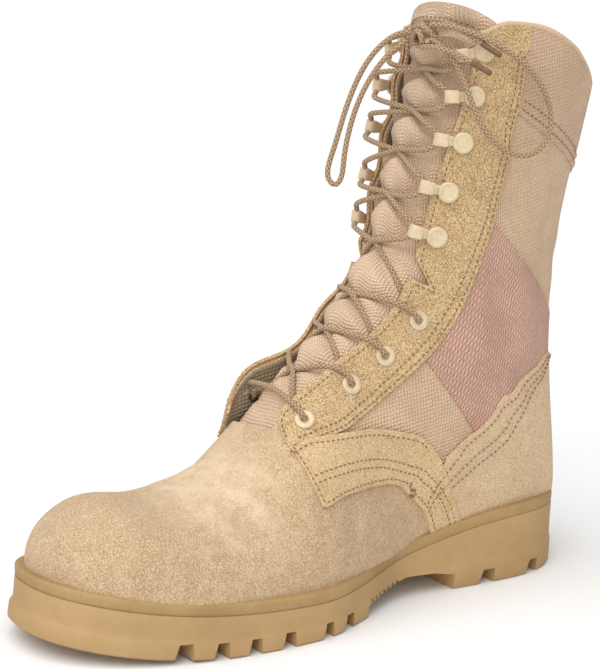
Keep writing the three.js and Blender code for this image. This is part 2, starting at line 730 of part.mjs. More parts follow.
// The bow, in run, side and rise from its knot, which stands off the top line at the top hooks: a long
// loop that hangs in front, a round loop that lies on the outer facing, and two ends
const knotSeat = upperPoint(hookStations[hookStations.length - 1].at - 0.01, 0, knotStandOff);
const knotCentre = knotSeat.add(place(0, knotShift, 0));
const fromKnot = ([run, side, rise]) => knotCentre.clone().add(place(run, side, rise));
const longLoop = [
  [4.3, -4.2, 2], [10, -10, 0], [19, -16, -9], [27, -20, -24], [33, -22, -41], [37, -23, -57],
  [40, -23, -70], [39, -19.5, -75], [36, -18, -69], [32, -18, -55], [26, -17, -39], [19, -14, -24],
  [11, -9, -11], [4, -5, -3],
];
const roundLoop = [
  [1.2, 7.3, -1.3], [-1, 15, -5.5], [-6, 21, -15], [-8, 26, -25], [-11, 30, -37], [-17, 34, -48],
  [-27, 37, -56], [-37, 39, -58], [-46, 40, -54], [-51, 40, -46], [-51, 40, -37], [-46, 40, -26],
  [-37, 40, -16], [-26, 37, -7], [-15, 30, 0], [-5, 18, 5], [2, 7.5, 6],
];
const outerStrandEnd = [-1.5, 8, 1.5];
const innerStrandEnd = [-1.5, -8.4, 2.5];
const endOne = [[-1, -1, 7.6], [-7, 14, 12], [-14, 24, 12], [-20, 31, 10]];
const endTwo = [[4, 3, -5.5], [4, 14, -11], [1, 24, -15], [-4, 31, -17]];

// Where a strand passes each station, from below to above, on one side
function laceStops(index, side) {
  if (index < eyeletStations.length) {
    const lie = new THREE.Vector3(eyeletRadius + laceRadius + clearance, 0, 4 * clearance + laceRadius);
    return [lie.applyMatrix4(eyeletSeat(eyeletStations[index], side))];
  }
  const frame = seatFrame(hookStations[index - eyeletStations.length], side, hookFloor);
  const reach = hookWidth / 2 + laceRadius + 4 * clearance;
  const lie = new THREE.Vector3(channelAt, 0, hookPlate + clearance + laceRadius);
  return [-reach, reach].map((way) => lie.clone().setY(-way * side).applyMatrix4(frame));
}
const stationCount = eyeletStations.length + hookStations.length;
const stationAt = (index) => [...eyeletStations, ...hookStations][index].at;
const gapGrow = overlayTop + laceRadius + clearance;
const gapTurn = 17;

function makeLacing() {
  const strands = [1, -1].map((first) => {
    const points = [];
    for (let index = 0; index < stationCount; index++) {
      const side = index % 2 ? -first : first;
      points.push(...laceStops(index, side));
      if (index === stationCount - 1) break;
      const from = stationAt(index);
      const to = stationAt(index + 1);
      points.push(upperPoint(from + 0.32 * (to - from), side * gapTurn, gapGrow));
      points.push(upperPoint(from + 0.68 * (to - from), -side * gapTurn, gapGrow));
    }
    const lastSide = stationCount % 2 ? first : -first;
    points.push(fromKnot(lastSide > 0 ? outerStrandEnd : innerStrandEnd));
    return solidOf(cordGeometry(points, laceRadius));
  });
  const lowest = stationAt(0);
  const bar = [1, -1].map((side) => laceStops(0, side)[0]);
  bar.splice(1, 0, ...[1, -1].map((side) => upperPoint(lowest, (side * gapTurn) / 2, overlayTop + laceRadius + clearance)));
  return strands[0].add(strands[1]).add(solidOf(cordGeometry(bar, laceRadius)));
}

function makeAglet(route) {
  const [before, last] = route.slice(-2).map(fromKnot);
  const way = last.clone().sub(before).normalize();
  const start = last.clone().addScaledVector(way, clearance + 0.1);
  const middle = start.clone().addScaledVector(way, agletLength / 2);
  const tube = new THREE.CylinderGeometry(agletRadius, agletRadius, agletLength, 10);
  const turned = new THREE.Quaternion().setFromUnitVectors(new THREE.Vector3(0, 1, 0), way);
  return tube.applyQuaternion(turned).translate(middle.x, middle.y, middle.z);
}

function makeKnot() {
  const knot = new THREE.SphereGeometry(1, 10, 6);
  knot.scale(6.5, 5, 5.5).translate(knotCentre.x, knotCentre.y, knotCentre.z);
  return knot;
}

// Finishes, as seen on the real boot
const finishes = {
  suede: { color: 0xcdb18b, roughness: 0.95, metalness: 0 },
  facingSuede: { color: 0xc9a873, roughness: 0.95, metalness: 0 },
  nylon: { color: 0xd0b398, roughness: 0.85, metalness: 0 },
  webbing: { color: 0xb48c79, roughness: 0.85, metalness: 0 },
  rubber: { color: 0xc7aa73, roughness: 0.7, metalness: 0 },
  insole: { color: 0xb79f80, roughness: 0.95, metalness: 0 },
  enamel: { color: 0xe3d3b0, roughness: 0.4, metalness: 0.2 },
  lace: { color: 0xa58a6a, roughness: 0.8, metalness: 0 },
  aglet: { color: 0x7a5a3c, roughness: 0.4, metalness: 0 },
};

const boot = new THREE.Group();
const shoeNodes = new THREE.Box3();
function addPiece(name, finish, shape, isLooseLace = false) {
  const geometry = shape.isBufferGeometry ? shape : geometryOf(shape);
  const mesh = new THREE.Mesh(geometry, new THREE.MeshStandardMaterial(finishes[finish]));
  mesh.name = name;
  boot.add(mesh);
  if (!isLooseLace) shoeNodes.union(new THREE.Box3().setFromObject(mesh));
}

addPiece("outsole", "rubber", makeOutsole());
addPiece("midsole", "rubber", makeMidsole());
addPiece("insole", "insole", makeInsole());
addPiece("upper", "suede", makeUpper());
addPiece("tongue", "nylon", makeTongue());
addPiece("heel_counter", "suede", makeHeelCounter());
addPiece("collar_cuff", "nylon", makeCollarCuff());
for (const [word, side] of [["outer", 1], ["inner", -1]]) {
  addPiece(`facing_${word}`, "facingSuede", makeFacing(side));
  addPiece(`quarter_${word}`, "facingSuede", makeQuarter(side));
  addPiece(`ankle_patch_${word}`, "webbing", makeAnklePatch(side));
  eyeletStations.forEach((station, i) => addPiece(`eyelet_${word}_${i + 1}`, "enamel", makeEyelet(station, side)));
  hookStations.forEach((station, i) => addPiece(`hook_${word}_${i + 1}`, "enamel", makeHook(station, side)));
}
addPiece("lacing", "lace", makeLacing());
addPiece("lace_knot", "lace", makeKnot(), true);
for (const [name, route, count] of [
  ["lace_long_loop", longLoop, 28],
  ["lace_round_loop", roundLoop, 32],
  ["lace_end_one", endOne, 5],
  ["lace_end_two", endTwo, 5],
]) {
  addPiece(name, "lace", cordGeometry(smoothRoute(route, count), laceRadius), true);
}
addPiece("aglet_one", "aglet", makeAglet(endOne), true);
addPiece("aglet_two", "aglet", makeAglet(endTwo), true);

// The shoe stands on its tread, centred on its own box
const centre = shoeNodes.getCenter(new THREE.Vector3());
boot.position.set(-centre.x, -centre.y, -shoeNodes.min.z);

export default boot;
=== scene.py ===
"""Looks of a laced suede and nylon combat boot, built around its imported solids."""

import logging
import math
from collections.abc import Sequence
from dataclasses import dataclass
from enum import Enum

import bmesh
import bpy
import numpy as np
from mathutils import Matrix, Vector


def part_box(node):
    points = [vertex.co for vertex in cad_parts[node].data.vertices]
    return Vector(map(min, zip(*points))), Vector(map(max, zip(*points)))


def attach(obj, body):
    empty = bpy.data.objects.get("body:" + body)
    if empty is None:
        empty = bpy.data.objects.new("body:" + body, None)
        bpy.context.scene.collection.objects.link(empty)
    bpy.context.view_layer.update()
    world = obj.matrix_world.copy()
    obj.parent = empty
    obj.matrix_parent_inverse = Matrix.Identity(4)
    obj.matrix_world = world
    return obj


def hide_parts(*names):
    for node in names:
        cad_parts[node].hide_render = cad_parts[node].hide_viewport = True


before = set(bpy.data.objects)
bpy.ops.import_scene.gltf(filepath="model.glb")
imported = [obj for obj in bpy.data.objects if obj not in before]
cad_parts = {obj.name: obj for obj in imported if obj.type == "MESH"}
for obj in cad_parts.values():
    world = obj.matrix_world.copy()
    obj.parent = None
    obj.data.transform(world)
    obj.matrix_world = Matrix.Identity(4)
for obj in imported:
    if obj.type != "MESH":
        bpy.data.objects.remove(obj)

log = logging.getLogger("boot")
MM = 0.001
BODY = "root"
Colour = tuple[float, float, float, float]
Places = tuple[tuple[float, float], ...]
CORD_DOME = 0.4
WELD = 0.02
PANEL_EDGE = (0.6, 1.4, 2.4, 3.6, 5.0)


def smooth_step(x: np.ndarray) -> np.ndarray:
    """Return 0 to 1 with level ends, for x from 0 to 1."""
    t = np.clip(x, 0.0, 1.0)
    return t * t * (3 - 2 * t)


def super_arc(x: np.ndarray, fullness: float) -> np.ndarray:
    """Return the height of a superellipse's quarter at x, from 1 down to 0."""
    return np.maximum(0.0, 1 - np.clip(x, 0.0, 1.0) ** fullness) ** (1 / fullness)


class Seam:
    """A smooth table of one value over another, without overshoot."""

    def __init__(self, rows: Sequence[tuple[float, float]]) -> None:
        """Keep the rows and work out a slope at each.

        Args:
            rows: pairs in rising order of the first value.
        """
        self.x = np.array([row[0] for row in rows], float)
        self.y = np.array([row[1] for row in rows], float)
        step = np.diff(self.y) / np.diff(self.x)
        slope = np.zeros(len(rows))
        slope[0], slope[-1] = step[0], step[-1]
        for i in range(1, len(rows) - 1):
            if step[i - 1] * step[i] > 0:
                slope[i] = 2 * step[i - 1] * step[i] / (step[i - 1] + step[i])
        self.slope = slope

    def __call__(self, x: np.ndarray | float) -> np.ndarray:
        """Return the table's value, held level past both ends.

        Args:
            x: where it is read.

        Returns:
            The values.
        """
        x = np.clip(np.asarray(x, float), self.x[0], self.x[-1])
        i = np.clip(np.searchsorted(self.x, x, side="right") - 1, 0, len(self.x) - 2)
        h = self.x[i + 1] - self.x[i]
        t = (x - self.x[i]) / h
        a = (1 + 2 * t) * (1 - t) ** 2
        b = t * (1 - t) ** 2
        c = t * t * (3 - 2 * t)
        d = t * t * (t - 1)
        return a * self.y[i] + b * h * self.slope[i] + c * self.y[i + 1] + d * h * self.slope[i + 1]


class Spline:
    """A natural cubic through several columns over rising knots."""

    def __init__(self, knots: np.ndarray, values: np.ndarray) -> None:
        """Solve for the bend at each knot.

        Args:
            knots: rising positions.
            values: one row of columns for each knot.
        """
        self.knots, self.values = knots, values
        count = len(knots)
        h = np.diff(knots)
        system = np.eye(count)
        right = np.zeros_like(values)
        for i in range(1, count - 1):
            system[i, i - 1 : i + 2] = h[i - 1], 2 * (h[i - 1] + h[i]), h[i]
            right[i] = 6 * ((values[i + 1] - values[i]) / h[i] - (values[i] - values[i - 1]) / h[i - 1])
        self.bend = np.linalg.solve(system, right)

    def __call__(self, x: np.ndarray) -> np.ndarray:
        """Return the columns, carried on straight past both ends.

        Args:
            x: where they are read.

        Returns:
            The columns at each place.
        """
        inside = np.clip(x, self.knots[0], self.knots[-1])
        i = np.clip(np.searchsorted(self.knots, inside, side="right") - 1, 0, len(self.knots) - 2)
        h = (self.knots[i + 1] - self.knots[i])[..., None]
        b = (inside - self.knots[i])[..., None] / h
        a = 1 - b
        low, high = self.values[i], self.values[i + 1]
        m, n = self.bend[i], self.bend[i + 1]
        value = a * low + b * high + ((a**3 - a) * m + (b**3 - b) * n) * h * h / 6
        slope = (high - low) / h + ((3 * b * b - 1) * n - (3 * a * a - 1) * m) * h / 6
        return value + (x - inside)[..., None] * slope


@dataclass(frozen=True)
class Section:
    """One section of the upper, as shares of the boot's sizes."""

    run: float
    rise: float
    back: float
    low: float
    outer: float
    inner: float
    ridge: float
    belly: float
    crown: float
    base: float


@dataclass(frozen=True)
class Crease:
    """A soft trough between two places of the upper, with ridges beside it."""

    start: tuple[float, float]
    end: tuple[float, float]
    depth: float
    width: float

    def mirrored(self) -> "Crease":
        """Return the same crease on the other side of the boot."""
        start, end = (self.start[0], -self.start[1]), (self.end[0], -self.end[1])
        return Crease(start, end, self.depth, self.width)


@dataclass(frozen=True)
class Edge:
    """One side of the sole's outline.

    Reaches are in millimetres from its axis, and places are shares of its length.
    """

    ball: float
    waist: float
    tip: float
    waist_at: float
    ball_at: float
    toe_fullness: float


@dataclass
class Last:
    """The form that every soft piece follows, in millimetres.

    Places on it are at (0 at the toe to 1 at the collar) and turn (degrees from the top line,
    positive on the outer side). Points are run forward, side outwards and rise up.
    """

    length: float = 310.0
    outer: Edge = Edge(60.2, 36.0, -7.2, 0.353, 0.6, 2.07)
    inner: Edge = Edge(52.5, 32.0, 7.2, 0.42, 0.7, 2.7)
    heel_width: float = 79.6
    heel_at: float = 0.15
    heel_fullness: float = 2.3
    ledge: float = 4.0
    instep: float = 130.0
    shaft: float = 292.0
    toe_spring: float = 9.6
    collar_crown: float = 9.0
    rounding_start: float = 0.745
    rounding_fullness: float = 2.27
    top_heights: tuple[float, ...] = (41.0, 39.0, 27.5, 25.0, 28.9, 38.0)
    top_places: tuple[float, ...] = (0, 0.22, 0.42, 0.62, 0.82, 1.0)
    spring_at: float = 0.72
    stretch_at: float = 0.9
    tuck: float = 2.5
    collar_line: Places = (
        (0, 0), (40, 0), (58, 0.8), (80, 1), (100, 0.74), (120, 0.3), (140, 0), (180, -0.1),
    )
    throat_line: Places = (
        (0.29, 15), (0.3, 18), (0.324, 20.5), (0.353, 25.5), (0.391, 29.5), (0.433, 33), (0.489, 34.5),
        (0.592, 35.5), (0.675, 38), (0.773, 40.3), (0.909, 41.5), (1.03, 41.5),
    )
    trough_width: float = 0.62
    ridge_gap: float = 1.5
    ridge_width: float = 0.8
    ridge_height: float = 0.45
    flare_start: float = 0.262
    flare_rise: float = 0.03
    flare_reach: float = 10.0
    flare_outer: float = 0.4
    flare_inner: float = 2.6
    bulge: float = 9.0
    bulge_at: float = 0.31
    bulge_length: float = 0.05
    foot: tuple[Section, ...] = (
        Section(1.0, 0.544, 1.0, 0, 1.07, 1.07, -0.062, 0.62, 2.5, 5),
        Section(0.901, 0.567, 0.901, 0, 1.09, 1.08, -0.053, 0.62, 2.4, 5),
        Section(0.815, 0.512, 0.815, 0, 1.07, 1.06, -0.044, 0.62, 2.3, 4.5),
        Section(0.735, 0.529, 0.735, 0, 1.03, 1.04, -0.044, 0.64, 2.1, 4.2),
        Section(0.659, 0.615, 0.649, 0, 0.99, 0.99, -0.035, 0.64, 2.0, 4.0),
        Section(0.591, 0.815, 0.5, 0.03, 0.99, 1.04, -0.027, 0.6, 2.0, 3.5),
        Section(0.508, 1.0, 0.334, 0.06, 1.07, 1.2, -0.018, 0.57, 2.0, 3.0),
    )
    leg: tuple[Section, ...] = (
        Section(0.444, 0.514, 0.169, 0.041, 1.12, 1.3, -0.009, 0.55, 2.0, 2.8),
        Section(0.399, 0.582, 0.02, 0.075, 1.08, 1.18, 0, 0.54, 2.0, 2.7),
        Section(0.369, 0.64, -0.011, 0.155, 1.02, 1.08, 0, 0.53, 2.0, 2.6),
        Section(0.354, 0.695, -0.002, 0.253, 1.02, 1.04, 0, 0.52, 2.0, 2.5),
        Section(0.34, 0.75, 0.008, 0.357, 1.04, 1.04, 0, 0.5, 2.0, 2.4),
        Section(0.323, 0.805, 0.01, 0.465, 1.06, 1.06, 0, 0.5, 2.0, 2.3),
        Section(0.303, 0.856, 0.004, 0.572, 1.09, 1.09, 0, 0.5, 2.1, 2.2),
        Section(0.286, 0.907, -0.013, 0.68, 1.13, 1.13, 0, 0.5, 2.1, 2.2),
        Section(0.276, 0.955, -0.037, 0.784, 1.17, 1.17, 0, 0.5, 2.1, 2.2),
        Section(0.268, 1.0, -0.06, 0.881, 1.21, 1.21, 0, 0.5, 2.1, 2.2),
    )
    creases: tuple[Crease, ...] = (
        Crease((0.205, 20), (0.225, 62), 1.3, 7.0),
        Crease((0.235, 8), (0.262, 58), 1.2, 6.0),
        Crease((0.18, -20), (0.215, 12), 0.9, 7.0),
        Crease((0.205, -60), (0.22, -22), 1.2, 7.0),
        Crease((0.235, -58), (0.25, -14), 1.2, 6.0),
    )
    paired_creases: tuple[Crease, ...] = (
        Crease((0.76, 84), (0.735, 130), 1.1, 9.0),
        Crease((0.84, 84), (0.86, 120), 0.9, 8.0),
        Crease((0.6, 76), (0.66, 100), 0.9, 8.0),
        Crease((0.8, 104), (0.79, 165), 1.2, 8.0),
        Crease((0.37, 60), (0.415, 84), 0.8, 6.0),
        Crease((0.33, 70), (0.31, 104), 0.8, 6.0),
    )

    def __post_init__(self) -> None:
        """Work out the tables and where the frame's origin lies."""
        self.feather = self.length - 2 * self.ledge
        heights = (self.instep,) * len(self.foot) + (self.shaft,) * len(self.leg)
        rows = [
            (
                part.run, part.rise * height, part.back, part.low * height, part.outer, part.inner,
                part.ridge, part.belly, part.crown, part.base,
            )
            for part, height in zip(self.foot + self.leg, heights)
        ]
        self.sections = Spline(np.linspace(0, 1, len(rows)), np.array(rows, float))
        places = np.array(self.top_places) * self.length
        self.top_curve = Spline(places, np.array(self.top_heights)[:, None])
        self.collar_table = Seam(self.collar_line)
        rise_rate = (self.leg[-1].rise - self.leg[-2].rise) * self.shaft * (len(rows) - 1)
        self.crown_share = self.collar_crown / rise_rate
        self.front = Seam(self.throat_line)
        low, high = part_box("midsole")
        self.side_zero = (self.outer.ball - self.inner.ball) / 2 - (low[0] + high[0]) / 2 / MM
        self.run_zero = (low[1] + high[1]) / 2 / MM + self.length / 2
        creases = list(self.creases)
        for crease in self.paired_creases:
            creases += [crease, crease.mirrored()]
        self.troughs = [
            (self.raw(*crease.start), self.raw(*crease.end), crease.depth, crease.width)
            for crease in creases
        ]

    def world(self, points: np.ndarray) -> np.ndarray:
        """Return points of run, side and rise as metres in the boot's frame."""
        run, side, rise = np.moveaxis(np.asarray(points, float), -1, 0)
        return np.stack([side - self.side_zero, self.run_zero - run, rise], axis=-1) * MM

    def half_width(self, run: np.ndarray, edge: Edge) -> np.ndarray:
        """Return how far one side of the sole reaches from its axis.

        Args:
            run: distances from the heel.
            edge: the side.

        Returns:
            The reaches.
        """
        heel_end = self.heel_at * self.length
        waist_end = edge.waist_at * self.length
        ball_end = edge.ball_at * self.length
        heel = self.heel_width / 2
        round_heel = heel * super_arc((heel_end - run) / heel_end, self.heel_fullness)
        to_waist = heel + (edge.waist - heel) * smooth_step((run - heel_end) / (waist_end - heel_end))
        widening = smooth_step((run - waist_end) / (ball_end - waist_end))
        to_ball = edge.waist + (edge.ball - edge.waist) * widening
        fall = super_arc((run - ball_end) / (self.length - ball_end), edge.toe_fullness)
        toe = edge.tip + (edge.ball - edge.tip) * fall
        back = np.where(run < heel_end, round_heel, to_waist)
        return np.where(run < ball_end, np.where(run < waist_end, back, to_ball), toe)

    def edges(self, share: np.ndarray, inset: np.ndarray | float) -> tuple[np.ndarray, np.ndarray]:
        """Return the outer and inner edge of the sole.

        Args:
            share: places along the sole.
            inset: how far both edges are drawn in.

        Returns:
            The two edges.
        """
        outer = self.half_width(share * self.length, self.outer)
        inner = self.half_width(share * self.length, self.inner)
        middle, half = (outer - inner) / 2, (outer + inner) / 2
        size = np.maximum(np.abs(inset), 1e-6)
        drawn = half - inset * np.minimum(1, half / (3 * size))
        return middle + drawn, middle - drawn

    def sole_top(self, run: np.ndarray) -> np.ndarray:
        """Return the height of the sole's top at a run."""
        return self.top_curve(np.clip(run, 0, self.length))[..., 0]

    def tread(self, run: np.ndarray) -> np.ndarray:
        """Return how far the tread has left the floor at a run."""
        past = (run / self.length - self.spring_at) / (1 - self.spring_at)
        return self.toe_spring * np.clip(past, 0, 1.1) ** 1.8

    def collar_end(self, turn: np.ndarray) -> np.ndarray:
        """Return where the collar ends at a turn."""
        return 1 + self.crown_share * self.collar_table(np.abs(turn))

    def to_collar(self, at: np.ndarray, turn: np.ndarray) -> np.ndarray:
        """Return a place with its last tenth stretched to the collar's line."""
        past = (at - self.stretch_at) / (1 - self.stretch_at)
        return np.where(at < self.stretch_at, at, at + past * (self.collar_end(turn) - 1))

    def raw(self, at: np.ndarray, turn: np.ndarray, grow: np.ndarray | float = 0.0) -> np.ndarray:
        """Return points of the form without its creases.

        Args:
            at: share of the way from the toe to the collar.
            turn: degrees around the section from the top line.
            grow: how far outside the form the points lie.

        Returns:
            Points of run, side and rise.
        """
        at, turn = np.broadcast_arrays(np.asarray(at, float), np.asarray(turn, float))
        row = self.sections(at)
        run_share, top_rise, back_share, back_rise = np.moveaxis(row[..., :4], -1, 0)
        outer, inner, ridge, belly, crown, base = np.moveaxis(row[..., 4:], -1, 0)
        top_run = self.ledge + run_share * self.feather
        back_run = self.ledge + back_share * self.feather
        widest = top_run + belly * (back_run - top_run)
        start = self.rounding_start * self.length
        share = np.clip((top_run - start) / (self.length - self.ledge - start), 0, 0.9995)
        rounding = super_arc(share, self.rounding_fullness)
        floor = self.sole_top(top_run)
        top_rise = np.where(share > 0, floor + (top_rise - floor) * rounding, top_rise)
        back_rise = np.where(share > 0, floor + (back_rise - floor) * rounding, back_rise)
        top_run = top_run + grow * share
        back_run = back_run + grow * share
        length = np.hypot(back_run - top_run, back_rise - top_rise)
        along_run, along_rise = (back_run - top_run) / length, (back_rise - top_rise) / length
        top_run, top_rise = top_run - along_run * grow, top_rise - along_rise * grow
        back_run, back_rise = back_run + along_run * grow, back_rise + along_rise * grow
        outer_edge, inner_edge = self.edges(np.clip((widest - self.ledge) / self.feather, 0, 1), self.ledge)
        middle = ridge * (self.outer.ball + self.inner.ball)
        angle = np.radians(turn)
        cosine, sine = np.cos(angle), np.sin(angle)
        power = 2 / np.where(cosine >= 0, crown, base)
        bulk = np.abs(cosine) ** power
        down = np.where(cosine >= 0, belly * (1 - bulk), belly + (1 - belly) * bulk)
        reach = np.where(sine >= 0, outer_edge * outer - middle, middle - inner_edge * inner) + grow
        side = middle + np.sign(sine) * reach * np.abs(sine) ** power
        run = top_run + down * (back_run - top_run)
        rise = top_rise + down * (back_rise - top_rise)
        return np.stack([run, side, np.maximum(rise, self.sole_top(run) - self.tuck)], axis=-1)

    def relief(self, at: np.ndarray, turn: np.ndarray) -> np.ndarray:
        """Return how far the creases move the form.

        Args:
            at: places along the upper.
            turn: places around it.

        Returns:
            Distances outwards.
        """
        points = self.raw(at, turn)
        moved = np.zeros(points.shape[:-1])
        for start, end, depth, width in self.troughs:
            line = end - start
            share = np.clip(((points - start) @ line) / (line @ line), 0, 1)
            gap = np.linalg.norm(points - (start + share[..., None] * line), axis=-1)
            fade = np.clip(np.sin(np.pi * np.clip(share, 0.04, 0.96)), 0, 1) ** 0.7
            trough = np.exp(-((gap / (self.trough_width * width)) ** 2))
            ridge = np.exp(-(((gap - self.ridge_gap * width) / (self.ridge_width * width)) ** 2))
            moved += fade * depth * (self.ridge_height * ridge - trough)
        return moved

    def flare(self, at: np.ndarray, turn: np.ndarray) -> np.ndarray:
        """Return how far the free edges of the throat stand away from the leg.

        Args:
            at: places along the upper.
            turn: places around it.

        Returns:
            Distances outwards.
        """
        at, turn = np.asarray(at, float), np.asarray(turn, float)
        past = np.maximum(np.abs(turn) - self.front(at), 0)
        near = np.exp(-((past / self.flare_reach) ** 2))
        along = smooth_step((at - self.flare_start) / self.flare_rise)
        along = along * (1 - 0.5 * smooth_step((at - 0.9) / 0.1))
        wave = 1 + 0.45 * np.sin(at * 58 + 0.6)
        bulge = np.exp(-(((at - self.bulge_at) / self.bulge_length) ** 2))
        inner = self.flare_inner * wave + self.bulge * bulge
        return np.where(turn < 0, inner, self.flare_outer) * near * along

    def point(self, at: np.ndarray, turn: np.ndarray, grow: np.ndarray | float = 0.0) -> np.ndarray:
        """Return points of the creased and flared form, moved outwards by grow."""
        return self.raw(at, turn, np.asarray(grow, float) + self.relief(at, turn) + self.flare(at, turn))

    def seat(self, at: float, turn: float, grow: float) -> Matrix:
        """Return the frame of a fitting: x to the throat, z outwards, in metres.

        Args:
            at: place along the upper.
            turn: place around it.
            grow: height above the form.

        Returns:
            The frame.
        """
        sign = 1.0 if turn >= 0 else -1.0
        ats = np.array([at, at, at, at - 0.01, at + 0.01])
        turns = np.array([turn, turn - 4 * sign, turn + 4 * sign, turn, turn])
        centre, near, far, below, above = self.world(self.point(ats, turns, grow))
        inward = Vector(near - far).normalized()
        upward = Vector(above - below).normalized()
        normal = (upward.cross(inward) * sign).normalized()
        turned = Matrix((inward, normal.cross(inward), normal)).transposed().to_4x4()
        return Matrix.Translation(Vector(centre)) @ turned


class Nodes:
    """Adds and links the nodes of one material."""

    def __init__(self, name: str) -> None:
        """Start a material with its shader.

        Args:
            name: the material's name.
        """
        self.material = bpy.data.materials.new(name)
        self.material.use_nodes = True
        self.tree = self.material.node_tree
        self.shader = self.tree.nodes["Principled BSDF"]

    def plug(self, value: object, socket: bpy.types.NodeSocket) -> None:
        """Give an input its value.

        Args:
            value: a value, or a socket that is linked to it.
            socket: the input.
        """
        if isinstance(value, bpy.types.NodeSocket):
            self.tree.links.new(value, socket)
        else:
            socket.default_value = value

    def add(self, kind: str, **inputs: object) -> bpy.types.Node:
        """Add a node and set its inputs or properties.

        Args:
            kind: node type without its ShaderNode prefix.
            inputs: by name, with underscores for spaces and p_ before a property's name.

        Returns:
            The new node.
        """
        node = self.tree.nodes.new("ShaderNode" + kind)
        for key, value in inputs.items():
            if key.startswith("p_"):
                setattr(node, key[2:], value)
            else:
                self.plug(value, node.inputs[key.replace("_", " ")])
        return node

    def mix(self, share: object, low: object, high: object) -> bpy.types.NodeSocket:
        """Return a colour between two.

        Args:
            share: value or socket, 0 for the first colour and 1 for the second.
            low: the first colour or socket.
            high: the second colour or socket.

        Returns:
            Socket of the mixed colour.
        """
        node = self.tree.nodes.new("ShaderNodeMix")
        node.data_type = "RGBA"
        for index, value in ((0, share), (6, low), (7, high)):
            self.plug(value, node.inputs[index])
        return node.outputs[2]

    def math(self, operation: str, *values: object) -> bpy.types.NodeSocket:
        """Return the result of one arithmetic step.

        Args:
            operation: the step's name.
            values: values or sockets.

        Returns:
            Socket of the result.
        """
        node = self.tree.nodes.new("ShaderNodeMath")
        node.operation = operation
        for index, value in enumerate(values):
            self.plug(value, node.inputs[index])
        return node.outputs[0]

    def times(self, value: object, factor: object) -> bpy.types.NodeSocket:
        """Return the product of two values or sockets."""
        return self.math("MULTIPLY", value, factor)

    def noise(
        self, place: bpy.types.NodeSocket, scale: float, detail: float, roughness: float = 0.5
    ) -> bpy.types.NodeSocket:
        """Return a cloudy value.

        Args:
            place: where it is read.
            scale: features to a metre.
            detail: how many finer layers are added.
            roughness: how strong the finer layers are.

        Returns:
            Socket of the value.
        """
        node = self.add("TexNoise", Vector=place, Scale=scale, Detail=detail, Roughness=roughness)
        return node.outputs[0]

    def set(self, name: str, value: object) -> None:
        """Set a socket of the shader."""
        self.shader.inputs[name].default_value = value

    def ramp(self, value: bpy.types.NodeSocket, low: float, high: float) -> bpy.types.NodeSocket:
        """Return a value spread over 0 to 1.

        Args:
            value: socket of the value.
            low: value that gives 0.
            high: value that gives 1.

        Returns:
            Socket of the spread value.
        """
        node = self.add("MapRange", Value=value, From_Min=low, From_Max=high)
        node.clamp = True
        return node.outputs[0]

    def finish(
        self, colour: object, roughness: object, height: object = None, depth: float = 0.0003
    ) -> bpy.types.Material:
        """Wire colour, roughness and relief to the shader.

        Args:
            colour: a colour or socket.
            roughness: a value or socket.
            height: socket of the relief, or None.
            depth: the relief's depth in metres.

        Returns:
            The material.
        """
        self.plug(colour, self.shader.inputs["Base Color"])
        self.plug(roughness, self.shader.inputs["Roughness"])
        if height is not None:
            bump = self.add("Bump", Height=height, Distance=depth, Strength=1.0)
            self.tree.links.new(bump.outputs[0], self.shader.inputs["Normal"])
        return self.material


def colour(red: int, green: int, blue: int) -> Colour:
    """Return a screen colour of 0 to 255, none of them under 11, as a linear one."""
    linear = [((part / 255 + 0.055) / 1.055) ** 2.4 for part in (red, green, blue)]
    return (*linear, 1.0)


@dataclass(frozen=True)
class Suede:
    """Napped split leather with brushed patches, a painted highlight and paler crease ridges."""

    name: str
    base: Colour
    dark: Colour
    pale: Colour
    grain: float = 0.6

    def make(self) -> bpy.types.Material:
        """Return the material: brushed clouds, fibres, and the piece's attribute, which paints a highlight
        and pales crease ridges.

        Returns:
            The material.
        """
        n = Nodes(self.name)
        place = n.add("TexCoord").outputs["Object"]
        broad = n.noise(place, 26.0, 6.0, 0.65)
        brushed = n.noise(place, 150.0, 7.0, 0.72)
        fibre = n.noise(place, 1350.0, 3.0, 0.7)
        speck = n.noise(place, 2600.0, 2.0, 0.6)
        tone = n.mix(n.times(n.ramp(broad, 0.62, 0.36), 0.35), self.base, self.dark)
        tone = n.mix(n.times(n.ramp(brushed, 0.45, 0.65), 0.28), tone, self.pale)
        tone = n.mix(n.times(n.ramp(fibre, 0.5, 0.36), self.grain), tone, self.dark)
        tone = n.mix(n.times(n.ramp(fibre, 0.52, 0.66), self.grain), tone, self.pale)
        # the attribute holds a painted highlight on the vamp's top line and paler crease ridges, mixed
        # towards the pale colour
        wear = n.add("Attribute", p_attribute_name="wear").outputs["Fac"]
        tone = n.mix(n.times(wear, n.ramp(brushed, 0.2, 0.7)), tone, self.pale)
        height = n.math("ADD", n.times(fibre, 0.6), n.times(speck, 0.25))
        height = n.math("ADD", height, n.times(brushed, 0.5))
        n.set("Sheen Weight", 0.25)
        n.set("Sheen Roughness", 0.55)
        n.set("Sheen Tint", (0.95, 0.85, 0.7, 1))
        n.set("Specular IOR Level", 0.15)
        return n.finish(tone, 0.95, height, 0.0005)


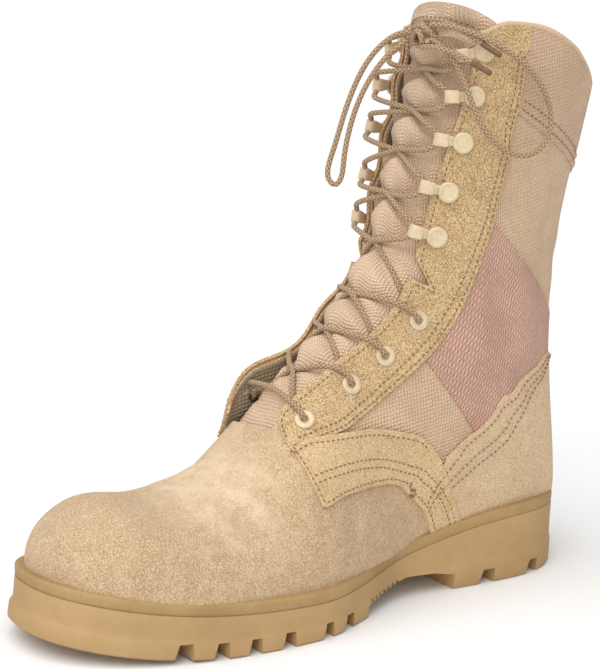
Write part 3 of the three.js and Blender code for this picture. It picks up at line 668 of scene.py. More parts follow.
@dataclass(frozen=True)
class Weave:
    """Plain woven nylon: warp and weft threads on the piece's own map, in millimetres."""

    name: str
    base: Colour
    dark: Colour
    pitch: float = 1.8
    ribs: float = 1.0
    lean: float = 0.62

    def make(self) -> bpy.types.Material:
        """Return the material: crossing threads with dark gaps.

        Returns:
            The material.
        """
        n = Nodes(self.name)
        cloth = n.add("UVMap", p_uv_map="cloth").outputs[0]
        turned = n.add("Mapping", Vector=cloth, Rotation=(0, 0, self.lean)).outputs[0]
        split = n.add("SeparateXYZ", Vector=turned)
        scale = math.tau * 1000 / self.pitch
        across = n.math("SINE", n.times(split.outputs[0], scale))
        along = n.math("SINE", n.times(split.outputs[1], scale * self.ribs))
        threads = n.times(across, along)
        crown = n.math("MAXIMUM", n.times(n.math("ABSOLUTE", across), 0.9), n.math("ABSOLUTE", along))
        place = n.add("TexCoord").outputs["Object"]
        broad = n.noise(place, 38.0, 4.0, 0.6)
        fuzz = n.noise(place, 1500.0, 3.0, 0.7)
        tone = n.mix(n.times(n.ramp(broad, 0.4, 0.7), 0.35), self.base, self.dark)
        gaps = n.math("MAXIMUM", n.ramp(crown, 0.75, 0.25), n.times(n.ramp(threads, 0.1, -0.7), 0.75))
        tone = n.mix(n.times(gaps, 0.9), tone, self.dark)
        tone = n.mix(n.times(n.ramp(fuzz, 0.5, 0.36), 0.5), tone, self.dark)
        height = n.math("ADD", crown, n.math("ADD", threads, n.times(fuzz, 0.6)))
        n.set("Sheen Weight", 0.15)
        n.set("Specular IOR Level", 0.3)
        return n.finish(tone, 0.8, height, 0.0004)


@dataclass(frozen=True)
class Rubber:
    """Moulded rubber with a fine pitted skin and soft stains."""

    name: str
    base: Colour
    dark: Colour

    def make(self) -> bpy.types.Material:
        """Return the material: soft stains over fine pits.

        Returns:
            The material.
        """
        n = Nodes(self.name)
        place = n.add("TexCoord").outputs["Object"]
        broad = n.noise(place, 18.0, 6.0, 0.62)
        stain = n.noise(place, 120.0, 5.0, 0.6)
        pits = n.noise(place, 1600.0, 2.0, 0.5)
        tone = n.mix(n.ramp(broad, 0.34, 0.68), self.dark, self.base)
        tone = n.mix(n.times(n.ramp(stain, 0.52, 0.72), 0.35), tone, self.dark)
        height = n.math("ADD", n.times(pits, 0.5), stain)
        n.set("Specular IOR Level", 0.35)
        return n.finish(tone, 0.62, height, 0.00018)


@dataclass(frozen=True)
class Braid:
    """Braided lace on a tube's own map: u once around, v in metres along it."""

    name: str
    base: Colour
    dark: Colour
    fleck: Colour
    pitch: float = 0.0026
    strands: int = 4

    def make(self) -> bpy.types.Material:
        """Return the material: strands wound both ways, with pale flecks where they cross.

        Returns:
            The material.
        """
        n = Nodes(self.name)
        split = n.add("SeparateXYZ", Vector=n.add("UVMap", p_uv_map="cloth").outputs[0])
        around = n.times(split.outputs[0], math.tau * self.strands)
        along = n.times(split.outputs[1], math.tau / self.pitch)
        left = n.math("SINE", n.math("ADD", around, along))
        right = n.math("SINE", n.math("SUBTRACT", around, along))
        strands = n.math("MAXIMUM", left, right)
        fuzz = n.noise(n.add("TexCoord").outputs["Object"], 1400.0, 3.0, 0.7)
        tone = n.mix(n.ramp(strands, -0.2, 0.9), self.dark, self.base)
        tone = n.mix(n.times(n.ramp(n.times(left, right), 0.3, 0.8), 0.3), tone, self.fleck)
        height = n.math("ADD", strands, n.times(fuzz, 0.5))
        n.set("Sheen Weight", 0.2)
        n.set("Specular IOR Level", 0.25)
        return n.finish(tone, 0.8, height, 0.0003)


@dataclass(frozen=True)
class Coat:
    """A smooth coating or moulding: enamel, film or thread, faintly worn; also the painted shade inside the
    eyelets.
    """

    name: str
    base: Colour
    dark: Colour
    roughness: float
    metallic: float = 0.0

    def make(self) -> bpy.types.Material:
        """Return the material: faint clouds over a smooth skin.

        Returns:
            The material.
        """
        n = Nodes(self.name)
        place = n.add("TexCoord").outputs["Object"]
        cloud = n.noise(place, 300.0, 5.0, 0.65)
        fine = n.noise(place, 2200.0, 2.0)
        tone = n.mix(n.ramp(cloud, 0.4, 0.75), self.base, self.dark)
        n.set("Metallic", self.metallic)
        return n.finish(tone, self.roughness, n.math("ADD", cloud, n.times(fine, 0.3)), 0.00006)


class Finish(Enum):
    """The boot's finishes."""

    VAMP = Suede(
        "vamp_suede", colour(195, 165, 130), colour(152, 121, 88), colour(231, 207, 174), 0.8
    )
    COUNTER = Suede(
        "counter_suede", colour(212, 183, 147), colour(166, 135, 99), colour(236, 213, 180), 0.8
    )
    GOLD = Suede(
        "golden_suede", colour(202, 170, 126), colour(132, 101, 62), colour(232, 206, 164), 1.0
    )
    QUARTER = Suede(
        "quarter_suede", colour(212, 181, 138), colour(158, 126, 85), colour(235, 210, 169), 0.85
    )
    NYLON = Weave("woven_nylon", colour(242, 210, 175), colour(178, 146, 114), 2.8)
    CUFF = Weave("cuff_nylon", colour(238, 203, 170), colour(172, 138, 110), 2.7)
    TONGUE = Weave("tongue_nylon", colour(245, 213, 181), colour(192, 160, 128), 2.7, 1.0, 0.7)
    PATCH = Weave("ribbed_webbing", colour(232, 188, 164), colour(140, 98, 82), 2.5, 0.35, 0.5)
    LINING = Weave("lining_cloth", colour(186, 166, 138), colour(136, 116, 90), 3.0)
    TAPE = Suede("binding_tape", colour(210, 181, 150), colour(176, 148, 118), colour(226, 200, 170), 0.5)
    SOLE = Rubber("sole_rubber", colour(184, 151, 105), colour(166, 134, 90))
    BAND = Rubber("welt_rubber", colour(178, 146, 98), colour(152, 121, 77))
    LACE = Braid("lace_braid", colour(194, 162, 126), colour(128, 98, 69), colour(216, 188, 152))
    THREAD = Coat("seam_thread", colour(142, 108, 69), colour(108, 79, 48), 0.75)
    ENAMEL = Coat("cream_enamel", colour(217, 197, 163), colour(199, 176, 138), 0.4, 0.1)
    # painted shade: the eyelet barrels and the disc that closes them are coloured dark to stand for the
    # shade inside the holes
    HOLE = Coat("dark_hole", colour(60, 46, 34), colour(40, 30, 22), 0.9)
    TIP = Coat("lace_tip_film", colour(122, 88, 60), colour(90, 62, 42), 0.4)
    FELT = Suede("insole_felt", colour(170, 148, 118), colour(146, 124, 96), colour(186, 166, 138))


MATERIALS: dict[Finish, bpy.types.Material] = {}


def dress(piece: bpy.types.Object, finish: Finish, slot: str, *nodes: str) -> bpy.types.Object:
    """Give a piece its finish and tie it to the frame.

    Args:
        piece: the object.
        finish: its finish.
        slot: not used.
        nodes: nodes that the piece stands for.

    Returns:
        The piece.
    """
    if finish not in MATERIALS:
        MATERIALS[finish] = finish.value.make()
    piece.data.materials.clear()
    piece.data.materials.append(MATERIALS[finish])
    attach(piece, BODY)
    if nodes:
        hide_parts(*nodes)
    log.info("%s: %d faces", piece.name, len(piece.data.polygons))
    return piece


def only(piece: bpy.types.Object) -> None:
    """Select one object and make it active.

    Args:
        piece: the object.
    """
    bpy.ops.object.select_all(action="DESELECT")
    piece.select_set(True)
    bpy.context.view_layer.objects.active = piece


def apply_modifiers(piece: bpy.types.Object) -> None:
    """Apply every modifier of a piece, in order.

    Args:
        piece: the object.
    """
    only(piece)
    for name in [modifier.name for modifier in piece.modifiers]:
        bpy.ops.object.modifier_apply(modifier=name)


def mesh_piece(name: str, points: np.ndarray, faces: list[tuple[int, ...]]) -> bpy.types.Object:
    """Return a smooth-shaded object.

    Args:
        name: its name.
        points: its vertices, in metres.
        faces: its faces, as numbers of vertices.

    Returns:
        The object.
    """
    mesh = bpy.data.meshes.new(name)
    mesh.from_pydata([tuple(point) for point in points.reshape(-1, 3)], [], faces)
    mesh.update()
    piece = bpy.data.objects.new(name, mesh)
    bpy.context.collection.objects.link(piece)
    mesh.shade_smooth()
    return piece


def grid_faces(rows: int, columns: int, wrap: bool = False) -> list[tuple[int, ...]]:
    """Return the faces of a grid.

    Args:
        rows: how many rows of points it has.
        columns: how many points a row has.
        wrap: whether each row closes on itself.

    Returns:
        The faces.
    """
    faces = []
    for i in range(rows - 1):
        near, far = i * columns, (i + 1) * columns
        for j in range(columns if wrap else columns - 1):
            k = (j + 1) % columns
            faces.append((near + j, near + k, far + k, far + j))
    return faces


def chart(piece: bpy.types.Object, across: np.ndarray, along: np.ndarray) -> None:
    """Give a piece its cloth map.

    Args:
        piece: the object.
        across: distance across the cloth at each vertex, in metres.
        along: distance along it.
    """
    layer = piece.data.uv_layers.new(name="cloth")
    corners = np.empty(len(piece.data.loops), int)
    piece.data.loops.foreach_get("vertex_index", corners)
    values = np.stack([across.ravel()[corners], along.ravel()[corners]], axis=-1)
    layer.data.foreach_set("uv", values.ravel())


def mark(piece: bpy.types.Object, name: str, values: np.ndarray) -> None:
    """Give a piece a value at each vertex."""
    attribute = piece.data.attributes.new(name, "FLOAT", "POINT")
    attribute.data.foreach_set("value", values.ravel().astype(np.float32))


def lengths(route: np.ndarray) -> np.ndarray:
    """Return how far along a route each of its points lies."""
    return np.concatenate([[0], np.cumsum(np.linalg.norm(np.diff(route, axis=0), axis=1))])


def read_route(route: np.ndarray, length: np.ndarray, at: np.ndarray) -> np.ndarray:
    """Return points of a route at some lengths.

    Args:
        route: its points.
        length: how far along it each of them lies.
        at: the lengths that are read.

    Returns:
        The points.
    """
    return np.stack([np.interp(at, length, route[:, k]) for k in range(3)], axis=-1)


def arc_chart(points: np.ndarray) -> tuple[np.ndarray, np.ndarray]:
    """Return distances over a grid of points, from its middle column and first row.

    Args:
        points: the grid.

    Returns:
        Distances across it and along it.
    """
    across = np.zeros(points.shape[:2])
    across[:, 1:] = np.cumsum(np.linalg.norm(np.diff(points, axis=1), axis=-1), axis=1)
    middle = points.shape[1] // 2
    across -= across[:, middle : middle + 1]
    along = np.zeros(points.shape[:2])
    along[1:] = np.cumsum(np.linalg.norm(np.diff(points, axis=0), axis=-1), axis=0)
    return across, along


def level_chart(points: np.ndarray, turn: np.ndarray, side: float = 0.044) -> tuple[np.ndarray, np.ndarray]:
    """Return distances around the leg and heights above the floor of a grid of points.

    Args:
        points: grid of world points.
        turn: their places around the section, in degrees.
        side: usual reach of the leg's sides, in metres.

    Returns:
        The two maps.
    """
    facing = np.clip((np.minimum(np.abs(turn), 360 - np.abs(turn)) - 95) / 20, -1, 1)
    return points[..., 1] + (side - np.abs(points[..., 0])) * facing, points[..., 2]


def sheet_piece(
    name: str, points: np.ndarray, thickness: float, rounding: float, wear: np.ndarray | None = None,
    turn: np.ndarray | None = None,
) -> bpy.types.Object:
    """Return a sheet of cloth or leather with rounded edges.

    Args:
        name: the piece's name.
        points: grid of the outer face, in metres, its rows from low to high and facing outwards.
        thickness: in metres, inwards.
        rounding: radius of its edges, in metres.
        wear: painted highlight and paler crease ridges at each point, or None.
        turn: places around the section, for a cloth map with level rows.

    Returns:
        The finished object.
    """
    rows, columns = points.shape[:2]
    piece = mesh_piece(name, points, grid_faces(rows, columns))
    chart(piece, *(arc_chart(points) if turn is None else level_chart(points, turn)))
    # the attribute holds the painted highlight and the paler crease ridges
    mark(piece, "wear", np.zeros(rows * columns) if wear is None else wear)
    wall = piece.modifiers.new("wall", "SOLIDIFY")
    wall.thickness = thickness
    wall.offset = -1
    wall.use_even_offset = False
    bevel = piece.modifiers.new("edge", "BEVEL")
    bevel.width = rounding
    bevel.segments = 2
    bevel.limit_method = "ANGLE"
    bevel.angle_limit = math.radians(55)
    apply_modifiers(piece)
    piece.data.shade_smooth()
    return piece


def tube_piece(
    name: str, route: np.ndarray, radius: float | np.ndarray, sides: int = 10
) -> bpy.types.Object:
    """Return a round cord along a route, with rounded ends and a map for its braid.

    Args:
        name: the piece's name.
        route: points in metres.
        radius: its radius in metres, one or one for each point.
        sides: faces around it.

    Returns:
        The object.
    """
    way = np.gradient(route, axis=0)
    way /= np.linalg.norm(way, axis=1)[:, None]
    across = np.zeros_like(route)
    side = np.cross(way[0], [0.3, 0.2, 0.93])
    for i, direction in enumerate(way):
        side = side - direction * (side @ direction)
        side /= np.linalg.norm(side)
        across[i] = side
    other = np.cross(way, across)
    angle = np.linspace(0, math.tau, sides, endpoint=False)
    size = np.broadcast_to(np.asarray(radius, float), len(route))[:, None, None]
    cosine, sine = np.cos(angle)[None, :, None], np.sin(angle)[None, :, None]
    points = route[:, None] + (across[:, None] * cosine + other[:, None] * sine) * size
    start = route[:1] - way[:1] * size[0, 0] * CORD_DOME
    stop = route[-1:] + way[-1:] * size[-1, 0] * CORD_DOME
    flat = np.concatenate([points.reshape(-1, 3), start, stop])
    faces = grid_faces(len(route), sides, True)
    first, last, end = len(flat) - 2, len(flat) - 1, (len(route) - 1) * sides
    for j in range(sides):
        k = (j + 1) % sides
        faces.append((first, k, j))
        faces.append((last, end + j, end + k))
    piece = mesh_piece(name, flat, faces)
    length = lengths(route)
    layer = piece.data.uv_layers.new(name="cloth")
    for polygon in piece.data.polygons:
        closing = any(vertex % sides == sides - 1 for vertex in polygon.vertices)
        for index in polygon.loop_indices:
            vertex = piece.data.loops[index].vertex_index
            row, column = divmod(min(vertex, len(route) * sides - 1), sides)
            turn = 1.0 if column == 0 and closing else column / sides
            layer.data[index].uv = (turn, length[row])
    return piece


def smooth_route(points: np.ndarray, spacing: float) -> np.ndarray:
    """Return evenly spaced points of a smooth curve through a route.

    Args:
        points: the route's points.
        spacing: distance between the new ones.

    Returns:
        The new points.
    """
    gaps = np.sqrt(np.linalg.norm(np.diff(points, axis=0), axis=1))
    knots = np.concatenate([[0], np.cumsum(gaps)])
    fine = Spline(knots, points)(np.linspace(0, knots[-1], 40 * len(points)))
    length = lengths(fine)
    count = max(3, int(round(length[-1] / spacing)) + 1)
    return read_route(fine, length, np.linspace(0, length[-1], count))


def clean(piece: bpy.types.Object, weld: bool) -> None:
    """Turn a piece's faces outwards.

    Args:
        piece: the object.
        weld: whether points that coincide are made one first.
    """
    mesh = bmesh.new()
    mesh.from_mesh(piece.data)
    if weld:
        bmesh.ops.remove_doubles(mesh, verts=mesh.verts, dist=WELD * MM)
    bmesh.ops.recalc_face_normals(mesh, faces=mesh.faces)
    mesh.to_mesh(piece.data)
    mesh.free()


def joined(pieces: list[bpy.types.Object], name: str) -> bpy.types.Object:
    """Return several objects as one.

    Args:
        pieces: the objects.
        name: the new one's name.

    Returns:
        The first of them, which holds the others.
    """
    only(pieces[0])
    for piece in pieces:
        piece.select_set(True)
    bpy.ops.object.join()
    pieces[0].name = name
    pieces[0].data.name = name
    return pieces[0]


def placed(piece: bpy.types.Object, matrix: Matrix) -> bpy.types.Object:
    """Put a piece's mesh in its place and leave the object at the origin.

    Args:
        piece: the object.
        matrix: its place.

    Returns:
        The same object.
    """
    piece.data.transform(matrix)
    piece.matrix_world = Matrix.Identity(4)
    return piece


@dataclass
class Sewing:
    """Rows of stitches on the upper."""

    last: Last
    pitch: float = 3.0
    length: float = 2.1
    radius: float = 0.37

    def __post_init__(self) -> None:
        """Model one stitch."""
        bpy.ops.object.select_all(action="DESELECT")
        bpy.ops.mesh.primitive_uv_sphere_add(segments=6, ring_count=5, radius=1.0)
        bead = bpy.context.active_object
        self.points = np.array([vertex.co[:] for vertex in bead.data.vertices])
        self.faces = [tuple(polygon.vertices) for polygon in bead.data.polygons]
        bpy.data.objects.remove(bead)
        self.placed_points: list[np.ndarray] = []

    def row(self, places: np.ndarray, grow: float) -> None:
        """Lay stitches along a line of the upper.

        Args:
            places: at and turn along the line.
            grow: height of the surface they lie on.
        """
        count = len(places)
        fine = np.linspace(0, count - 1, 12 * count)
        at = np.interp(fine, np.arange(count), places[:, 0])
        turn = np.interp(fine, np.arange(count), places[:, 1])
        line = self.last.world(self.last.point(at, turn, grow))
        self.lay(line, self.last.world(self.last.point(at, turn, grow + 1.0)))

    def lay(self, line: np.ndarray, lifted: np.ndarray) -> None:
        """Lay stitches along a line of world points.

        Args:
            line: the points.
            lifted: the same points one millimetre higher.
        """
        length = lengths(line)
        pitch = self.pitch * MM
        stops = np.arange(pitch / 2, length[-1], pitch)
        if not len(stops):
            return
        centre = read_route(line, length, stops)
        way = read_route(line, length, stops + pitch / 4) - read_route(line, length, stops - pitch / 4)
        way /= np.maximum(np.linalg.norm(way, axis=1), 1e-9)[:, None]
        up = read_route(lifted, length, stops) - centre
        up -= way * np.sum(up * way, axis=1)[:, None]
        up /= np.linalg.norm(up, axis=1)[:, None]
        side = np.cross(way, up)
        size = np.array([self.length / 2, self.radius, self.radius * 0.8]) * MM
        body = self.points * size
        beads = (
            centre[:, None]
            + body[None, :, 0, None] * way[:, None]
            + body[None, :, 1, None] * side[:, None]
            + body[None, :, 2, None] * up[:, None]
        )
        self.placed_points.append(beads + up[:, None] * 0.12 * MM)

    def build(self, name: str) -> bpy.types.Object:
        """Return all the rows laid so far as one piece.

        Args:
            name: the piece's name.

        Returns:
            The piece.
        """
        beads = np.concatenate(self.placed_points)
        size = len(self.points)
        faces = [tuple(i * size + v for v in face) for i in range(len(beads)) for face in self.faces]
        self.placed_points = []
        return mesh_piece(name, beads, faces)


class Side(Enum):
    """The two sides of the boot."""

    OUTER = 1
    INNER = -1


@dataclass
class Upper:
    """The wall, the panels and the tongue."""

    last: Last
    wall: float = 2.2
    rear: Seam = Seam((
        (0.29, 34), (0.3, 37), (0.33, 47), (0.364, 55), (0.401, 57), (0.452, 57), (0.507, 58), (0.56, 61.5),
        (0.614, 66), (0.688, 72.5), (0.731, 75), (0.837, 76.5), (0.871, 74), (0.917, 74), (0.975, 72.5),
        (1.04, 71.5),
    ))
    wing_low: Seam = Seam((
        (0.3, 62), (0.303, 67), (0.32, 72.5), (0.343, 77.5), (0.38, 88), (0.4, 94), (0.42, 95), (0.447, 92),
    ))
    counter: Seam = Seam((
        (0.396, 101), (0.405, 96), (0.422, 92), (0.438, 90), (0.468, 88), (0.518, 88.5), (0.56, 93),
        (0.598, 99), (0.65, 115), (0.688, 132), (0.703, 150), (0.71, 180),
    ))
    wing_edge: Places = (
        (0.2995, 37), (0.2997, 50), (0.3005, 66.5), (0.322, 72), (0.343, 77), (0.363, 82), (0.38, 87),
        (0.392, 94), (0.398, 104), (0.397, 124),
    )
    wing_back: Places = (
        (0.301, 36.5), (0.318, 41), (0.338, 49), (0.361, 57), (0.385, 64), (0.404, 70.5), (0.425, 79),
        (0.43, 89), (0.426, 101), (0.424, 124),
    )
    wing_sewing: Places = (
        (0.3045, 54), (0.331, 61.5), (0.359, 69.5), (0.38, 76), (0.396, 82.5), (0.411, 89), (0.419, 95),
        (0.421, 104), (0.42, 118),
    )
    notch_at: float = 0.553
    notch_half: float = 0.02
    notch_turn: float = 11.0
    corner_length: float = 0.014
    corner_turn: float = 13.0
    # strengths of the painted highlight on the vamp's top line and of the paler crease ridges
    top_highlight: float = 0.9
    ridge_paling: float = 0.5
    tongue_low: float = 0.272
    tongue_high: float = 1.052
    tongue_reach: float = 15.0
    tongue_sink: float = 2.8
    tongue_hollow: float = 3.1
    pillow_height: float = 5.6
    pillow_gap: float = 5.0
    crossings: tuple[float, ...] = (
        0.3, 0.327, 0.388, 0.438, 0.499, 0.609, 0.689, 0.776, 0.856, 0.944, 1.02,
    )

    def front_turn(self, at: np.ndarray, start: float = 0.2) -> np.ndarray:
        """Return the facing's front edge, with its notch and a round corner at its start.

        Args:
            at: places along the upper.
            start: where the facing starts.

        Returns:
            Its turn at each place.
        """
        depth = np.clip(1 - np.abs(at - self.notch_at) / self.notch_half, 0, 1)
        notch = np.where(depth > 0.85, 0.85 + (depth - 0.85) * 0.4, depth)
        corner = self.corner_turn * np.clip(1 - (at - start) / self.corner_length, 0, 1) ** 2.2
        return corner + self.last.front(at) + self.notch_turn * notch

    def surface(self, at: np.ndarray, turn: np.ndarray, grow: np.ndarray | float) -> np.ndarray:
        """Return world points of the upper, with flare and creases."""
        return self.last.world(self.last.point(at, turn, grow))

    def wear(self, at: np.ndarray, turn: np.ndarray) -> np.ndarray:
        """Return paling: a painted highlight along the vamp's top line, where the light falls, and paler
        ridges beside the creases.
        """
        # painted highlight: the top of the vamp is made paler where the light falls on it
        top = self.top_highlight * np.exp(-((turn / 45) ** 2) - ((at - 0.21) / 0.07) ** 2)
        # the paler ridges beside the creases are added to the painted highlight
        return np.clip(top + self.ridge_paling * np.clip(self.last.relief(at, turn), 0, 1), 0, 1)

    @staticmethod
    def steps(length: float, near: tuple[float, ...], step: float) -> np.ndarray:
        """Return shares of a width, close together near both edges.

        Args:
            length: the width in millimetres.
            near: distances from an edge that get a line.
            step: spacing between.

        Returns:
            Rising shares from 0 to 1.
        """
        edge = [value for value in near if value < 0.45 * length]
        start = edge[-1] if edge else 0
        count = max(2, int(round((length - 2 * start) / step)) + 1)
        middle = np.linspace(start, length - start, count)
        far = [length - value for value in edge]
        return np.unique(np.concatenate([[0], edge, middle, far, [length]])) / length

    def panel(
        self, name: str, ats: np.ndarray, low: np.ndarray, high: np.ndarray, grow: float, fold: float,
        width: float, thickness: float = 1.4, step: float = 2.6,
    ) -> bpy.types.Object:
        """Return a panel between two edges of the upper.

        Args:
            name: the piece's name.
            ats: stations from low to high.
            low: turn of one edge at each station.
            high: turn of the other edge.
            grow: height of its outer face.
            fold: extra height along its turned edges.
            width: its usual width, in millimetres.
            thickness: of its material.
            step: spacing of its lines.

        Returns:
            The panel.
        """
        shares = self.steps(width, PANEL_EDGE, step)
        turn = low[:, None] + (high - low)[:, None] * shares[None]
        at = np.broadcast_to(ats[:, None], turn.shape)
        at = self.last.to_collar(at, turn)
        return self.laid(name, at, turn, shares, grow, fold, width, thickness)

    def laid(
        self, name: str, at: np.ndarray, turn: np.ndarray, shares: np.ndarray, grow: float, fold: float,
        width: float, thickness: float,
    ) -> bpy.types.Object:
        """Return a panel laid on a grid of places.

        Args:
            name: the piece's name.
            at: places along the upper.
            turn: places around it.
            shares: each column's share of the panel's width.
            grow: height of its outer face.
            fold: extra height along its turned edges.
            width: its usual width, in millimetres.
            thickness: of its material.

        Returns:
            The panel.
        """
        gap = np.minimum(shares, 1 - shares) * width
        raised = fold * (1 - smooth_step((gap - 3.0) / 2.0))[None] * np.ones_like(turn)
        points = self.surface(at, turn, grow + raised)
        lifted = self.surface(at, turn, grow + raised + 1.0)
        i, j = points.shape[0] // 2, points.shape[1] // 2
        normal = np.cross(points[i, j + 1] - points[i, j], points[i + 1, j] - points[i, j])
        if normal @ (lifted[i, j] - points[i, j]) < 0:
            points, at, turn = points[:, ::-1], at[:, ::-1], turn[:, ::-1]
        # the panels get the painted highlight and the paler crease ridges too
        return sheet_piece(name, points, thickness * MM, 0.45 * MM, self.wear(at, turn), turn)

    @staticmethod
    def curve(nodes: Sequence[tuple[float, float]], count: int) -> np.ndarray:
        """Return a smooth run of places through a few of them.

        Args:
            nodes: at and turn of each.
            count: how many places are returned.

        Returns:
            The places.
        """
        order = np.linspace(0, len(nodes) - 1, count)
        at = Seam([(number, node[0]) for number, node in enumerate(nodes)])
        turn = Seam([(number, node[1]) for number, node in enumerate(nodes)])
        return np.stack([at(order), turn(order)], axis=-1)

    def strip(
        self, name: str, low: Sequence[tuple[float, float]], high: Sequence[tuple[float, float]],
        sign: int, grow: float, fold: float, width: float, thickness: float, count: int = 130,
    ) -> bpy.types.Object:
        """Return a panel ruled between two curves.

        Args:
            name: the piece's name.
            low: places along one edge.
            high: as many places along the other.
            sign: side of the boot, 1 or -1.
            grow: height of its outer face.
            fold: extra height along its turned edges.
            width: its usual width, in millimetres.
            thickness: of its material.
            count: lines along it.

        Returns:
            The panel.
        """
        shares = self.steps(width, PANEL_EDGE, 2.2)
        near, far = self.curve(low, count)[:, None], self.curve(high, count)[:, None]
        places = near + (far - near) * shares[None, :, None]
        at, turn = places[..., 0], sign * places[..., 1]
        return self.laid(name, at, turn, shares, grow, fold, width, thickness)

    def build_wall(self) -> None:
        """Make the nylon wall with its lining, open at the throat, and the binding along its collar."""
        ats = np.concatenate([np.linspace(0.285, 0.9, 120), np.linspace(0.905, 1, 18)])
        turns_share = np.linspace(0, 1, 170)
        edge = self.front_turn(ats) + 1.2
        turn = edge[:, None] + (360 - 2 * edge)[:, None] * turns_share[None]
        signed = np.where(turn > 180, turn - 360, turn)
        at = self.last.to_collar(np.broadcast_to(ats[:, None], turn.shape), signed)
        points = self.surface(at, signed, 0.0)
        inner = self.surface(at, signed, -self.wall)
        rows, columns = points.shape[:2]
        shell = mesh_piece("nylon_wall", points, grid_faces(rows, columns))
        chart(shell, *level_chart(points, signed))
        dress(shell, Finish.NYLON, "nylon", "upper")
        lining = mesh_piece("lining", inner[:, ::-1], grid_faces(rows, columns))
        chart(lining, *level_chart(inner[:, ::-1], signed[:, ::-1]))
        dress(lining, Finish.LINING, "nylon")
        for piece in (shell, lining):
            solid = piece.modifiers.new("wall", "SOLIDIFY")
            solid.thickness = 0.55 * self.wall * MM
            solid.offset = -1
            apply_modifiers(piece)
        route = self.surface(at[-1], signed[-1], -self.wall * 0.5 + 0.2)
        route[:, 2] += 0.2 * MM
        binding = tube_piece("collar_binding", smooth_route(route[::3], 2 * MM), 1.9 * MM, 10)
        mark(binding, "wear", np.zeros(len(binding.data.vertices)))
        dress(binding, Finish.TAPE, "nylon")

    def build_vamp(self) -> None:
        """Make the suede vamp from the toe to the throat, with its wings along the sole."""
        ats = np.concatenate([0.1 * np.linspace(0.02, 1, 36) ** 2, np.linspace(0.105, 0.31, 62)])
        turn = np.broadcast_to(np.linspace(-118, 118, 150)[None], (len(ats), 150))
        droop = 1 - 0.45 * np.exp(-((turn / np.where(turn < 0, 52, 24)) ** 2))
        at = np.where(ats[:, None] < 0.262, ats[:, None], 0.262 + (ats[:, None] - 0.262) * droop)
        lift = 0.9 * smooth_step(ats / 0.03)[:, None]
        points = self.last.world(self.last.raw(at, turn, lift + self.last.relief(at, turn)))
        middle = points[0].mean(axis=0)
        cap = np.stack([middle + (points[0] - middle) * share for share in (0.02, 0.35, 0.7)])
        points = np.concatenate([cap, points])
        # painted highlight on the vamp's top line and paler crease ridges; none on the toe cap rows
        wear = np.concatenate([np.zeros((3, turn.shape[1])), self.wear(at, turn)])
        vamp = sheet_piece("vamp", points, 1.3 * MM, 0.4 * MM, wear)
        dress(vamp, Finish.VAMP, "suede")
        for side in Side:
            sign = side.value
            stations = np.linspace(0.3, 0.412, 44)
            low = self.wing_low(stations) - 4
            under = np.full_like(low, 128)
            name = f"vamp_wing_{side.name.lower()}"
            wing = self.panel(name, stations, sign * low, sign * under, 0.9, 0.0, 50)
            dress(wing, Finish.VAMP, "suede")

    def build_panels(self) -> None:
        """Make facings, wings, counter, ankle patches and cuff."""
        last = self.last
        for side in Side:
            sign, word = side.value, side.name.lower()
            start = 0.3 if side is Side.OUTER else 0.281
            below = start + np.array([0, 0.0008, 0.002, 0.0035, 0.005, 0.007, 0.009, 0.0115])
            instep = np.linspace(start + 0.014, 0.53, 80)
            notch = np.linspace(0.5325, 0.575, 26)
            ats = np.concatenate([below, instep, notch, np.linspace(0.58, 1, 140)])
            low, high = self.front_turn(ats, start), self.rear(ats)
            edges = sign * low, sign * high
            facing = self.panel(f"facing_{word}_panel", ats, *edges, 1.7, 0.45, 26, 1.6, 2.2)
            dress(facing, Finish.GOLD, "golden_suede", f"facing_{word}")
            edges = self.wing_edge, self.wing_back
            wing = self.strip(f"quarter_{word}_panel", *edges, sign, 2.3, 0.45, 24, 1.8)
            dress(wing, Finish.QUARTER, "golden_suede", f"quarter_{word}")
            ats = np.linspace(0.474, 0.742, 90)
            low = self.rear(ats) - 2
            edges = sign * low, sign * np.full_like(low, 179.5)
            patch = self.panel(f"ankle_patch_{word}_panel", ats, *edges, 0.9, 0.0, 90, 1.0, 2.4)
            dress(patch, Finish.PATCH, "webbing", f"ankle_patch_{word}")
        ats = np.concatenate([np.linspace(0.397, 0.6, 60), np.linspace(0.604, 0.708, 40)])
        edge = self.counter(ats)
        edges = edge, 360 - edge
        counter = self.panel("heel_counter_panel", ats, *edges, 1.7, 0.35, 170, 1.6, 2.6)
        dress(counter, Finish.COUNTER, "suede", "heel_counter")
        ats = np.linspace(0.9, 0.998, 30)
        edges = self.rear(ats) - 1.5, 361.5 - self.rear(ats)
        cuff = self.panel("collar_cuff_panel", ats, *edges, 1.0, 0.25, 210, 1.1, 2.4)
        dress(cuff, Finish.CUFF, "nylon", "collar_cuff")

